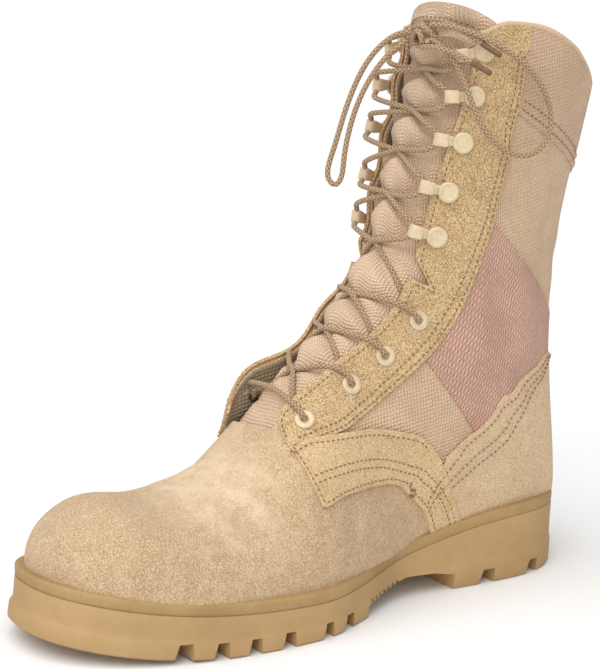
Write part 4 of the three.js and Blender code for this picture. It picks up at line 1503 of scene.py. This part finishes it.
    def sew(self) -> None:
        """Lay the stitch rows along the panels' edges."""
        thread = Sewing(self.last)
        for side in Side:
            sign = side.value
            for offset, start in ((1.6, 0.302), (4.6, 0.31)):
                ats = np.linspace(start, 0.995, 200)
                thread.row(np.stack([ats, sign * (self.rear(ats) - offset)], axis=-1), 2.2)
            start = 0.302 if side is Side.OUTER else 0.283
            ats = start + (0.995 - start) * np.linspace(0, 1, 400) ** 1.3
            thread.row(np.stack([ats, sign * (self.front_turn(ats, start - 0.002) + 3.4)], axis=-1), 2.0)
            edge = self.curve(self.wing_edge, 120)
            edge = edge + np.array([0.004, -1.4]) * np.linspace(0.6, 1, 120)[:, None]
            double = self.curve(self.wing_sewing, 90)
            top = self.curve(self.wing_back, 120)[:84] + np.array([-0.003, 1.8])
            second = double + np.array([-0.005, 2.0])
            for line, grow in ((edge, 2.75), (double, 2.35), (second, 2.35), (top, 2.75)):
                thread.row(line * np.array([1, sign]), grow)
            for offset in (1.5, 4.2, 6.9):
                ats = np.linspace(0.402, 0.7, 110)
                grow = 2.5 if offset < 6 else 2.0
                thread.row(np.stack([ats, sign * (self.counter(ats) + offset)], axis=-1), grow)
            for k in range(-2, 2):
                place = np.array([0.3935 + 0.0012 * k, 92.0 + 0.3 * k])
                half = np.array([0.012 * 0.3, -1.2])
                thread.row(np.stack([place - half, place + half]) * np.array([1, sign]), 2.9)
        for at, grow in ((0.907, 1.35), (0.9165, 1.2)):
            turn = np.linspace(76, 284, 120)
            signed = np.where(turn > 180, turn - 360, turn)
            places = self.last.to_collar(np.full_like(turn, at), signed)
            thread.row(np.stack([places, turn], axis=-1), grow)
        across = np.linspace(-0.86, 0.86, 160)
        share = np.full_like(across, 0.955)
        thread.lay(self.tongue_points(share, across, 0.1), self.tongue_points(share, across, 1.1))
        dress(thread.build("seam_stitches"), Finish.THREAD, "lace")

    def tongue_points(self, share: np.ndarray, across: np.ndarray, lift: float = 0.0) -> np.ndarray:
        """Return points of the tongue's outer face, puffed between the crossings of the lace.

        Args:
            share: way from its lower end (0) to its top (1).
            across: -1 at its inner edge to 1 at its outer edge.
            lift: extra height.

        Returns:
            World points.
        """
        ats = self.tongue_low + share * (self.tongue_high - self.tongue_low)
        reach = self.last.front(np.minimum(ats, 1.03))
        reach = reach + self.tongue_reach * np.minimum(1, 0.4 + (ats - 0.27) * 8)
        middle = np.cos(across * math.pi / 2) ** 2
        stations = np.array(self.crossings)
        low = np.clip(np.searchsorted(stations, ats, side="right") - 1, 0, len(stations) - 2)
        way = 1 - 2 * (ats - stations[low]) / (stations[low + 1] - stations[low])
        gap = np.minimum(np.abs(across - 0.8 * way), np.abs(across + 0.8 * way)) * 17
        puff = self.pillow_height * (1 - np.exp(-((gap / self.pillow_gap) ** 2)))
        puff = puff * middle**0.6 * smooth_step((ats - 0.3) / 0.04)
        ripple = 0.5 * np.sin(ats * 90 + across * 3.5) * middle
        band = 0.9 * smooth_step((share - 0.945) / 0.006)
        band = band - 0.7 * np.exp(-(((share - 0.943) / 0.004) ** 2))
        grow = -self.tongue_sink - self.tongue_hollow * middle + puff + ripple + band + lift
        top = np.clip((share - 0.8) / 0.2, 0, 1) ** 2
        at = ats - top * (0.062 * np.abs(across - 0.25) ** 2.2 - 0.004)
        return self.last.world(self.last.raw(at, reach * across, grow))

    def build_tongue(self) -> None:
        """Make the tongue with the stitched band at its top."""
        share, across = np.meshgrid(np.linspace(0, 1, 220), np.linspace(-1, 1, 61), indexing="ij")
        tongue = sheet_piece("tongue_pad", self.tongue_points(share, across), 2.6 * MM, 1.0 * MM)
        dress(tongue, Finish.TONGUE, "nylon", "tongue")


@dataclass
class Hardware:
    """Eyelets and speed hooks."""

    last: Last
    eyelets: Places = ((0.327, 34), (0.388, 43), (0.438, 45), (0.499, 46.5))
    hooks: Places = (
        (0.635, 45), (0.715, 47), (0.802, 48), (0.882, 47), (0.97, 47),
    )
    seat_height: float = 2.1
    head_radius: float = 5.4
    channel: float = 12.6
    lace_radius: float = 1.4
    hook_lean: float = 30.0
    ring_radius: float = 3.5
    ring_tube: float = 1.65
    ring_flatness: float = 0.4
    hole_radius: float = 2.35
    hole_depth: float = 4.2
    plate_thickness: float = 1.0

    def hook_seat(self, at: float, turn: float) -> Matrix:
        """Return a hook's frame, its tab turned down to lie level."""
        lean = math.radians(self.hook_lean) * (1 if turn >= 0 else -1)
        return self.last.seat(at, turn, self.seat_height) @ Matrix.Rotation(lean, 4, "Z")

    def eyelet(self) -> bpy.types.Object:
        """Return one eyelet: a rolled flange, modelled at the origin.

        Returns:
            The eyelet.
        """
        bpy.ops.object.select_all(action="DESELECT")
        bpy.ops.mesh.primitive_torus_add(
            major_segments=32, minor_segments=10, major_radius=self.ring_radius * MM,
            minor_radius=self.ring_tube * MM, location=(0, 0, 0),
        )
        ring = bpy.context.active_object
        bpy.ops.object.mode_set(mode="EDIT")
        bpy.ops.transform.resize(value=(1, 1, self.ring_flatness))
        bpy.ops.object.mode_set(mode="OBJECT")
        ring.data.shade_smooth()
        ring.name = "eyelet_model"
        return ring

    @staticmethod
    def cylinder(radius: float, depth: float, height: float, sides: int, ends: str) -> bpy.types.Object:
        """Return an upright cylinder on the axis.

        Args:
            radius: in millimetres.
            depth: its own height, in millimetres.
            height: of its middle above the origin, in millimetres.
            sides: faces around it.
            ends: how its ends are closed.

        Returns:
            The object, its mesh in place.
        """
        bpy.ops.object.select_all(action="DESELECT")
        bpy.ops.mesh.primitive_cylinder_add(
            vertices=sides, radius=radius * MM, depth=depth * MM, end_fill_type=ends,
            location=(0, 0, height * MM),
        )
        bpy.ops.object.transform_apply(location=True, rotation=False, scale=False)
        return bpy.context.active_object

    def barrel(self) -> bpy.types.Object:
        """Return the inside of an eyelet, coloured with painted shade: its barrel, closed by a disc low in
        it that stands for the shaded hole.

        Returns:
            The barrel.
        """
        # the disc is a dark sheet put where the hole's shade falls
        disc = self.cylinder(2.2, 0.3, -1.9, 32, "NGON")
        barrel = self.cylinder(self.hole_radius, self.hole_depth, -2.0, 32, "NOTHING")
        wall = barrel.modifiers.new("wall", "SOLIDIFY")
        wall.thickness = 0.35 * MM
        apply_modifiers(barrel)
        return joined([barrel, disc], "barrel_model")

    def hook(self) -> bpy.types.Object:
        """Return one hook: a head with a lip, and a plate folded back over the lace.

        Returns:
            The hook.
        """
        head = self.hook_head()
        plate = self.hook_plate()
        return joined([head, plate], "hook_model")

    def hook_head(self) -> bpy.types.Object:
        """Return the hook's round head with its raised lip.

        Returns:
            The head.
        """
        head = self.cylinder(self.head_radius, 1.8, 0.9, 40, "NGON")
        bpy.ops.object.mode_set(mode="EDIT")
        mesh = bmesh.from_edit_mesh(head.data)
        for face in mesh.faces:
            face.select_set(face.normal.z > 0.9)
        bmesh.update_edit_mesh(head.data)
        bpy.ops.mesh.inset(thickness=1.3 * MM, depth=0.5 * MM)
        bpy.ops.mesh.inset(thickness=0.9 * MM, depth=-0.45 * MM)
        bpy.ops.mesh.inset(thickness=1.2 * MM, depth=0.1 * MM)
        bpy.ops.object.mode_set(mode="OBJECT")
        bevel = head.modifiers.new("edge", "BEVEL")
        bevel.width = 0.4 * MM
        bevel.segments = 3
        bevel.angle_limit = math.radians(35)
        apply_modifiers(head)
        head.data.shade_smooth()
        return head

    def hook_plate(self) -> bpy.types.Object:
        """Return the hook's plate: flat under the head, curled up and back over the lace.

        Returns:
            The plate.
        """
        low = self.plate_thickness / 2
        curl = self.lace_radius + 0.3 + self.plate_thickness
        path = [(0.0, low), (self.channel * 0.5, low), (self.channel, low)]
        path += [
            (self.channel + (curl - low) * math.sin(angle), curl - (curl - low) * math.cos(angle))
            for angle in np.linspace(0.25, math.pi - 0.15, 9)
        ]
        path += [(self.channel - 1.5, 2 * curl - 0.5), (self.channel - 4.6, 2 * curl - 0.62)]
        half = [2.3, 2.5, 3.3] + [3.3] * 9 + [3.3, 3.2]
        plate = bpy.data.objects.new("plate", bpy.data.meshes.new("plate"))
        bpy.context.collection.objects.link(plate)
        mesh = bmesh.new()
        rows = []
        for (x, z), width in zip(path, half):
            shares = (-1, -0.5, 0, 0.5, 1)
            rows.append([mesh.verts.new((x * MM, share * width * MM, z * MM)) for share in shares])
        for near, far in zip(rows, rows[1:]):
            for j in range(4):
                mesh.faces.new((near[j], far[j], far[j + 1], near[j + 1]))
        mesh.to_mesh(plate.data)
        mesh.free()
        wall = plate.modifiers.new("wall", "SOLIDIFY")
        wall.thickness = self.plate_thickness * MM
        wall.offset = 0
        bevel = plate.modifiers.new("edge", "BEVEL")
        bevel.width = 0.28 * MM
        bevel.segments = 2
        bevel.angle_limit = math.radians(40)
        apply_modifiers(plate)
        plate.data.shade_smooth()
        return plate

    def build(self) -> None:
        """Set every eyelet and hook on its facing."""
        kinds = (("eyelet", self.eyelet(), self.eyelets), ("hook", self.hook(), self.hooks))
        for kind, model, stations in kinds:
            for side in Side:
                word = side.name.lower()
                for number, (at, turn) in enumerate(stations, 1):
                    piece = bpy.data.objects.new(f"{kind}_{word}_{number}_fitting", model.data.copy())
                    bpy.context.collection.objects.link(piece)
                    turn *= side.value
                    if kind == "eyelet":
                        placed(piece, self.last.seat(at, turn, self.seat_height))
                    else:
                        placed(piece, self.hook_seat(at, turn))
                    dress(piece, Finish.ENAMEL, "enamel", f"{kind}_{word}_{number}")
            bpy.data.objects.remove(model)
        model = self.barrel()
        barrels = []
        for side in Side:
            for at, turn in self.eyelets:
                piece = bpy.data.objects.new("barrel", model.data.copy())
                bpy.context.collection.objects.link(piece)
                barrels.append(placed(piece, self.last.seat(at, side.value * turn, self.seat_height)))
        bpy.data.objects.remove(model)
        # the barrels and their discs carry the painted shade of the holes
        dress(joined(barrels, "eyelet_barrels"), Finish.HOLE, "enamel")


@dataclass
class Lacing:
    """The lace: its crossings, the bow and its two tipped ends."""

    last: Last
    hardware: Hardware
    radius: float = 1.4
    sides: int = 12
    spacing: float = 1.6
    tip_length: float = 11.4
    above_hook: float = 0.026
    leave: float = -2.6
    arrive: float = 1.9
    deep: float = -3.4

    def station(self, index: int, sign: int) -> list[np.ndarray]:
        """Return the points of a strand at an eyelet or a hook, from below to above.

        Args:
            index: number of the station from the lowest eyelet.
            sign: side of the boot, 1 or -1.

        Returns:
            World points.
        """
        hardware = self.hardware
        eyelets = len(hardware.eyelets)
        if index < eyelets:
            at, turn = hardware.eyelets[index]
            seat = hardware.last.seat(at, sign * turn, hardware.seat_height)
            spots = [
                (6.2, 0, 1.9), (3.2, 0, 2.1), (1.2, 0, 1.0), (0.3, 0, -1.6), (1.5, 0, -4.6), (6, 0, -6.0),
            ]
        else:
            at, turn = hardware.hooks[index - eyelets]
            seat = hardware.hook_seat(at, sign * turn)
            x = hardware.channel
            half = [(x + 6.0, 6.2, 0.2), (x + 2.4, 4.0, 1.9), (x + 0.5, 1.5, 2.6)]
            spots = [(a, b * sign, c) for a, b, c in half]
            spots += [(a, -b * sign, c) for a, b, c in half[::-1]]
        return [np.array(seat @ Vector([v * MM for v in spot])) for spot in spots]

    def on_gap(self, at: float, turn: float, grow: float) -> np.ndarray:
        """Return a world point over the throat's opening."""
        return self.last.world(self.last.raw(np.array(at), np.array(turn), grow))

    def cord(self, name: str, route: list[np.ndarray], *nodes: str) -> None:
        """Make one taut piece of the lace.

        Args:
            name: the piece's name.
            route: its points.
            nodes: nodes that it stands for.
        """
        path = smooth_route(np.array(route), self.spacing * MM)
        piece = tube_piece(name, path, self.radius * MM, self.sides)
        dress(piece, Finish.LACE, "lace", *nodes)

    def build_bar(self) -> None:
        """Make the lowest bar, from one eyelet across the throat to the other."""
        at = self.hardware.eyelets[0][0]
        over = [self.on_gap(at, 9, 2.6), self.on_gap(at, -9, 2.6)]
        self.cord("lace_bar", self.station(0, 1)[::-1][1:] + over + self.station(0, -1)[:-1])

    def strand(self, first: int, height: float) -> list[np.ndarray]:
        """Return the route of a strand from the lowest eyelet to the knot.

        Args:
            first: side of the boot where it starts, 1 or -1.
            height: how far it lies above the middle of the crossings.

        Returns:
            World points.
        """
        eyelets = len(self.hardware.eyelets)
        stations = [row[0] for row in self.hardware.eyelets]
        stations += [row[0] - self.above_hook for row in self.hardware.hooks]
        route = self.station(0, first)[-2:]
        sign = first
        for index, (low, high) in enumerate(zip(stations, stations[1:])):
            rise = high - low
            if index < eyelets:
                turn = sign * (float(self.last.front(low)) - 3)
                route.append(self.on_gap(low + 0.16 * rise, turn, self.leave))
            middle = (low + high) / 2
            route.append(self.on_gap(middle, sign * 3.0, self.deep + height))
            route.append(self.on_gap(middle + 0.04 * rise, -sign * 3.0, self.deep + height))
            if index + 1 < eyelets:
                turn = -sign * (float(self.last.front(high)) - 4)
                route.append(self.on_gap(high - 0.2 * rise, turn, self.arrive))
            sign = -sign
            route += self.station(index + 1, sign)
        end = [92.5, 17, 287] if sign > 0 else [92.5, 3, 288]
        return route + [self.last.world(np.array(end, float)), self.knot_centre()]

    def build_crossings(self) -> None:
        """Make the bar and both strands from it to the knot."""
        self.build_bar()
        self.cord("lace_strand_one", self.strand(1, 0.9), "lacing")
        self.cord("lace_strand_two", self.strand(-1, -0.6))

    def knot_centre(self) -> np.ndarray:
        """Return the middle of the bow's knot."""
        low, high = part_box("lace_knot")
        return (np.array(low) + np.array(high)) / 2

    def from_knot(self, route: list[tuple[float, float, float]]) -> np.ndarray:
        """Return world points of a route given as run, side and rise from the knot."""
        steps = np.array(route, float)
        return self.knot_centre() + np.stack([steps[:, 1], -steps[:, 0], steps[:, 2]], axis=-1) * MM

    def build_bow(self) -> None:
        long_loop = [
            (4.3, -4.2, 2), (10, -10, 0), (19, -16, -9), (27, -20, -24), (33, -22, -41), (37.2, -23.4, -56),
            (40.4, -24, -66.5), (40.9, -22.4, -72.6), (38.6, -20, -75), (35.9, -18.7, -71.2),
            (34.4, -18.9, -63), (32.4, -19, -52), (28.6, -18.6, -39), (23, -16, -24.5), (14.5, -11, -10.5),
            (6, -6, -2.5),
        ]
        round_loop = [
            (1.2, 7.3, -1.3), (-1, 15, -5.5), (-6, 21, -15), (-8, 26, -25), (-11, 30, -37), (-17, 34, -48),
            (-27, 37, -56), (-37, 39, -58), (-46, 40, -54), (-51, 40, -46), (-51, 40, -37), (-46, 40, -26),
            (-37, 40, -16), (-26, 37, -7), (-15, 30, 0), (-5, 18, 5), (2, 7.5, 6),
        ]
        end_one = [(-1, -1, 7.6), (-4, 12, 7), (-10, 22, 2), (-15, 29, -3)]
        end_two = [(4, 3, -5.5), (3, 13, -5), (-3, 23, -8), (-8, 30, -12)]
        radius = self.radius * MM
        for name, node, route, tip in (
            ("bow_long_loop", "lace_long_loop", long_loop, None),
            ("bow_round_loop", "lace_round_loop", round_loop, None),
            ("bow_end_one", "lace_end_one", end_one, "aglet_one"),
            ("bow_end_two", "lace_end_two", end_two, "aglet_two"),
        ):
            path = smooth_route(self.from_knot(route), self.spacing * MM)
            piece = tube_piece(name, path, radius, self.sides)
            dress(piece, Finish.LACE, "lace", node)
            if tip is None:
                continue
            film = self.tip_film(f"{tip}_film", path)
            dress(film, Finish.TIP, "lace_tip", tip)
        self.build_knot()

    def tip_film(self, name: str, path: np.ndarray) -> bpy.types.Object:
        """Return the film around a lace's end, with its crimps.

        Args:
            name: the piece's name.
            path: the lace's points.

        Returns:
            The film.
        """
        way = path[-1] - path[-2]
        way /= np.linalg.norm(way)
        start = path[-1] - way * 1.0 * MM
        shares = np.array([0, 0.02, 0.1, 0.28, 0.3, 0.34, 0.6, 0.62, 0.66, 0.94, 1.0])
        sizes = np.array([1.42, 1.55, 1.55, 1.5, 1.42, 1.5, 1.45, 1.35, 1.42, 1.35, 1.0])
        route = start + way * shares[:, None] * self.tip_length * MM
        return tube_piece(name, route, sizes * MM, self.sides)

    def build_knot(self) -> None:
        """Make the knot's wraps, which are no free cord."""
        wraps = [
            (-1, 8, -2), (1.5, 7.5, 2), (3.5, 4, 4.5), (4, -1, 4.6), (3, -5.5, 2.5), (1, -7, -0.5),
            (-1.5, -5, -3), (0, -1, -4.6), (3, 3, -4.2), (5, 4.5, -1), (5.2, 2, 2.4), (4.4, -2.4, 1),
            (3.6, -4.6, -2.4), (1, -3, -5), (-2, 1, -5), (-4, 4, -2.5), (-4, 4, 2), (-1, 1, 5.4),
            (2.6, -2, 5.2),
        ]
        path = smooth_route(self.from_knot(wraps), 1.2 * MM)
        dress(tube_piece("bow_knot", path, self.radius * MM, self.sides), Finish.LACE, "lace", "lace_knot")


@dataclass(frozen=True)
class Contour:
    """One line around a layer of the sole, in millimetres.

    It lies below the sole's top by its drop, or between the midsole's lower edge and the tread
    where level, 0 to 1, is given.
    """

    inset: float
    drop: float = 0.0
    level: float | None = None
    spread: float = 0.0


@dataclass
class Sole:
    """Outsole, midsole band and insole."""

    last: Last
    welt: float = 6.0
    flare: float = 4.2
    seam: float = 0.1
    notch_height: float = 8.0
    notch_depth: float = 19.0
    notch_slant: float = 0.3
    reach: float = 75.0
    edge_rounding: float = 0.45
    band: tuple[Contour, ...] = (
        Contour(1.2), Contour(0.5, 0.25), Contour(0.0, 1.0), Contour(-0.1, 2.6), Contour(0.0, 4.9),
        Contour(0.35, 5.5), Contour(0.5, 6.0),
    )
    side: tuple[Contour, ...] = (
        Contour(0.6, level=0.0),
        Contour(0.15, level=0.015, spread=0.02),
        Contour(0.0, level=0.04, spread=0.06),
        Contour(0.3, level=0.3, spread=0.25),
        Contour(0.4, level=0.5, spread=0.4),
        Contour(0.4, level=0.56, spread=0.5),
        Contour(0.0, level=0.6, spread=0.6),
        Contour(-0.2, level=0.64, spread=0.68),
        Contour(-0.1, level=0.8, spread=0.85),
        Contour(0.2, level=0.95, spread=1.0),
        Contour(1.0, level=0.995, spread=0.95),
        Contour(2.0, level=1.0, spread=0.9),
    )
    notches: Places = (
        (0.52, 0.543), (0.571, 0.591), (0.646, 0.668), (0.706, 0.727), (0.76, 0.783), (0.816, 0.843),
        (0.09, 0.116), (0.19, 0.22),
    )

    def stations(self, count: int) -> np.ndarray:
        """Return shares of the length, close together at both ends."""
        u = np.clip(np.linspace(0, 1, count), 0.004, 0.996)
        return 0.5 - 0.5 * np.cos(math.pi * u)

    def height(self, contour: Contour, run: np.ndarray) -> np.ndarray:
        """Return the height of a contour.

        Args:
            contour: the line.
            run: places along the sole.

        Returns:
            Its height at each place.
        """
        top = self.last.sole_top(run)
        if contour.level is None:
            return top - contour.drop
        under = top - self.welt - self.seam
        return under + contour.level * (self.last.tread(run) - under)

    def layer(self, name: str, profile: Sequence[Contour], count: int) -> bpy.types.Object:
        """Return a layer of the sole.

        Args:
            name: the piece's name.
            profile: its contours, from the top edge down.
            count: stations along the sole.

        Returns:
            The closed layer.
        """
        shares = self.stations(count)
        outer, inner = [], []
        out_edge, in_edge = self.last.edges(shares, 0.0)
        for tip in (0, -1):
            out_edge[tip] = in_edge[tip] = (out_edge[tip] + in_edge[tip]) / 2
        there = np.stack([shares * self.last.length, out_edge], axis=-1)
        back = np.stack([shares * self.last.length, in_edge], axis=-1)[::-1]
        outline = np.concatenate([there, back])
        way = np.roll(outline, -1, axis=0) - np.roll(outline, 1, axis=0)
        normal = np.stack([-way[:, 1], way[:, 0]], axis=-1) / np.linalg.norm(way, axis=1)[:, None]
        for contour in profile:
            drawn = contour.inset - contour.spread * self.flare * np.clip((shares - 0.5) / 0.4, 0, 1)
            edge = outline - normal * np.concatenate([drawn, drawn[::-1]])[:, None]
            for tip in (0, len(shares) - 1):
                other = 2 * len(shares) - 1 - tip
                edge[tip] = edge[other] = (edge[tip] + edge[other]) / 2
            edge = np.concatenate([edge, self.height(contour, edge[:, 0])[:, None]], axis=1)
            outer.append(edge[: len(shares)])
            inner.append(edge[len(shares) :][::-1])
        inside = []
        for top in (True, False):
            a, b = (outer[0], inner[0]) if top else (outer[-1], inner[-1])
            rows = [a + (b - a) * t for t in np.linspace(0, 1, 14)[1:-1]]
            inside.append(rows if not top else rows[::-1])
        loops = np.stack(outer + inside[1] + inner[::-1] + inside[0], axis=1)
        points = self.last.world(loops)
        rows, columns = points.shape[:2]
        piece = mesh_piece(name, points, grid_faces(rows, columns, True))
        clean(piece, True)
        return piece

    def cut(self, piece: bpy.types.Object, boxes: list[tuple[np.ndarray, np.ndarray]]) -> None:
        """Cut prisms across the shoe out of a piece.

        Args:
            piece: what is cut.
            boxes: for each prism, its outline in run and rise and its two sides.
        """
        points, faces = [], []
        for outline, sides in boxes:
            start = len(points)
            count = len(outline)
            for side in sides:
                for run, rise in outline:
                    points.append(self.last.world(np.array([run, side, rise])))
            faces.append(tuple(range(start, start + count)))
            faces.append(tuple(range(start + 2 * count - 1, start + count - 1, -1)))
            for i in range(count):
                j = (i + 1) % count
                faces.append((start + i, start + count + i, start + count + j, start + j))
        cutter = mesh_piece("cutter", np.array(points), faces)
        clean(cutter, False)
        boolean = piece.modifiers.new("cut", "BOOLEAN")
        boolean.operation = "DIFFERENCE"
        boolean.solver = "EXACT"
        boolean.object = cutter
        apply_modifiers(piece)
        bpy.data.objects.remove(cutter)

    def build(self) -> None:
        """Make the three layers."""
        midsole = self.layer("midsole_band", self.band, 150)
        dress(midsole, Finish.BAND, "rubber", "midsole")
        self.build_outsole()
        self.build_insole()

    @staticmethod
    def arch_roof(share: float) -> float:
        """Return the height of the arch's roof, which falls towards the ball."""
        return 12 - 52.4 * (share - 0.371)

    def arch(self) -> list[tuple[float, float]]:
        """Return the outline of the arch's cut, with its ribs, in run and rise.

        Returns:
            Its corners.
        """
        roof = self.arch_roof
        corners = [(0.271, -2), (0.271, 8.4), (0.31, 11), (0.371, 12)]
        for start in np.linspace(0.39, 0.46, 7):
            end = start + 0.005
            corners += [(start, roof(start)), (start, roof(start) + 1.7)]
            corners += [(end, roof(start) + 1.5), (end, roof(end))]
        corners += [(0.474, roof(0.474)), (0.474, -2)]
        return [(share * self.last.length, rise) for share, rise in corners]

    def build_outsole(self) -> None:
        """Make the outsole, with its arch, its notches and its rounded edges."""
        last, length = self.last, self.last.length
        outsole = self.layer("outsole_tread", self.side, 170)
        boxes = [(self.arch(), (-70.0, 70.0))]
        for start, end in self.notches:
            low, high = start * length, end * length
            floor = float(last.tread(np.array((low + high) / 2)))
            roof = floor + self.notch_height
            slant = self.notch_slant * (high - low)
            outline = [
                (low - 0.6, -6), (high + 0.6, -6), (high + 0.6, floor), (high - slant, roof),
                (low - 0.6, roof),
            ]
            out_edge, in_edge = last.edges(np.array((start + end) / 2), 0)
            boxes.append((outline, (float(out_edge) - self.notch_depth, self.reach)))
            boxes.append((outline, (-self.reach, float(in_edge) + self.notch_depth)))
        self.cut(outsole, boxes)
        mesh = bmesh.new()
        mesh.from_mesh(outsole.data)
        bmesh.ops.remove_doubles(mesh, verts=mesh.verts, dist=WELD * MM)
        weight = mesh.edges.layers.float.new("bevel_weight_edge")
        reach = 0.47 * length * MM
        for edge in mesh.edges:
            middle = (edge.verts[0].co + edge.verts[1].co) / 2
            sharp = len(edge.link_faces) == 2 and edge.calc_face_angle() > math.radians(50)
            if sharp and abs(middle.y) < reach:
                edge[weight] = 1.0
        mesh.to_mesh(outsole.data)
        mesh.free()
        edge = outsole.modifiers.new("edge", "BEVEL")
        edge.width = self.edge_rounding * MM
        edge.segments = 2
        edge.limit_method = "WEIGHT"
        apply_modifiers(outsole)
        only(outsole)
        bpy.ops.object.shade_smooth_by_angle(angle=math.radians(40))
        dress(outsole, Finish.SOLE, "rubber", "outsole")

    def build_insole(self) -> None:
        """Make the footbed."""
        inset = self.last.ledge + 2.2 + 3.2
        bed = (
            Contour(inset + 1.5, -4.2), Contour(inset + 0.4, -3.6), Contour(inset, -2.2),
            Contour(inset + 0.4, -0.4),
        )
        insole = self.layer("insole_bed", bed, 90)
        mark(insole, "wear", np.zeros(len(insole.data.vertices)))
        dress(insole, Finish.FELT, "insole_cloth", "insole")


@dataclass
class Studio:
    """Camera, floor and light."""

    last: Last
    width: float = 600.0
    height: float = 669.0
    azimuth: float = 55.74
    elevation: float = 13.29
    roll: float = 0.92
    distance: float = 0.953
    focal_pixels: float = 1873.0
    aim_run: float = 153.0
    aim_rise: float = 120.0
    centre_x: float = 309.7
    centre_y: float = 369.5
    sky: float = 0.46
    key: float = 2.15
    side: float = 0.92

    def build(self) -> None:
        """Set up the view of the photograph, the floor and the light."""
        self.build_camera()
        self.build_floor()
        self.build_light()

    def build_camera(self) -> None:
        """Place the camera as in the photograph."""
        a, e, r = map(math.radians, (self.azimuth, self.elevation, self.roll))
        target = Vector(self.last.world(np.array([self.aim_run, 0, self.aim_rise])))
        back = Vector((math.sin(a) * math.cos(e), -math.cos(a) * math.cos(e), math.sin(e)))
        right = Vector((math.cos(a), math.sin(a), 0))
        up = back.cross(right)
        x_axis = right * math.cos(r) + up * math.sin(r)
        y_axis = up * math.cos(r) - right * math.sin(r)
        data = bpy.data.cameras.new("camera")
        camera = bpy.data.objects.new("camera", data)
        bpy.context.collection.objects.link(camera)
        turn = Matrix((x_axis, y_axis, back)).transposed().to_4x4()
        camera.matrix_world = Matrix.Translation(target + back * self.distance) @ turn
        data.sensor_fit = "VERTICAL"
        data.sensor_height = 36.0
        data.sensor_width = 36.0
        data.lens = self.focal_pixels / self.height * data.sensor_height
        data.shift_x = -(self.centre_x - self.width / 2) / self.height
        data.shift_y = (self.centre_y - self.height / 2) / self.height
        data.clip_start = 0.01
        bpy.context.scene.camera = camera

    def build_floor(self) -> None:
        """Make the pale floor."""
        bpy.ops.object.select_all(action="DESELECT")
        bpy.ops.mesh.primitive_plane_add(size=40, location=(0, 0, 0))
        floor = bpy.context.active_object
        floor.name = "floor"
        n = Nodes("pale_floor")
        floor.data.materials.append(n.finish((0.88, 0.88, 0.88, 1), 0.8))
        n.set("Specular IOR Level", 0.1)

    def build_light(self) -> None:
        """Make the white backdrop and two soft suns."""
        world = bpy.data.worlds.new("studio")
        bpy.context.scene.world = world
        world.use_nodes = True
        tree = world.node_tree
        rays = tree.nodes.new("ShaderNodeLightPath")
        spread = tree.nodes.new("ShaderNodeMapRange")
        spread.inputs["To Min"].default_value = self.sky
        spread.inputs["To Max"].default_value = 1.0
        tree.links.new(rays.outputs["Is Camera Ray"], spread.inputs["Value"])
        tree.links.new(spread.outputs[0], tree.nodes["Background"].inputs[1])
        tree.nodes["Background"].inputs[0].default_value = (1, 1, 1, 1)
        for name, towards, width, power in (
            ("key", (0.12, -0.36, 0.93), 70, self.key),
            ("side", (0.77, -0.6, 0.42), 60, self.side),
        ):
            light = bpy.data.lights.new(name, "SUN")
            light.angle = math.radians(width)
            light.energy = power
            lamp = bpy.data.objects.new(name, light)
            bpy.context.collection.objects.link(lamp)
            lamp.rotation_euler = Vector(towards).to_track_quat("Z", "Y").to_euler()
        bpy.context.scene.view_settings.view_transform = "Standard"


def main() -> None:
    """Build the boot."""
    logging.basicConfig(level=logging.INFO, format="%(message)s")
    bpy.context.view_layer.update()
    last = Last()
    upper = Upper(last)
    hardware = Hardware(last)
    Studio(last).build()
    lacing = Lacing(last, hardware)
    lacing.build_bow()
    lacing.build_crossings()
    Sole(last).build()
    upper.build_wall()
    upper.build_vamp()
    upper.build_panels()
    upper.build_tongue()
    upper.sew()
    hardware.build()


if __name__ == "__main__":
    main()
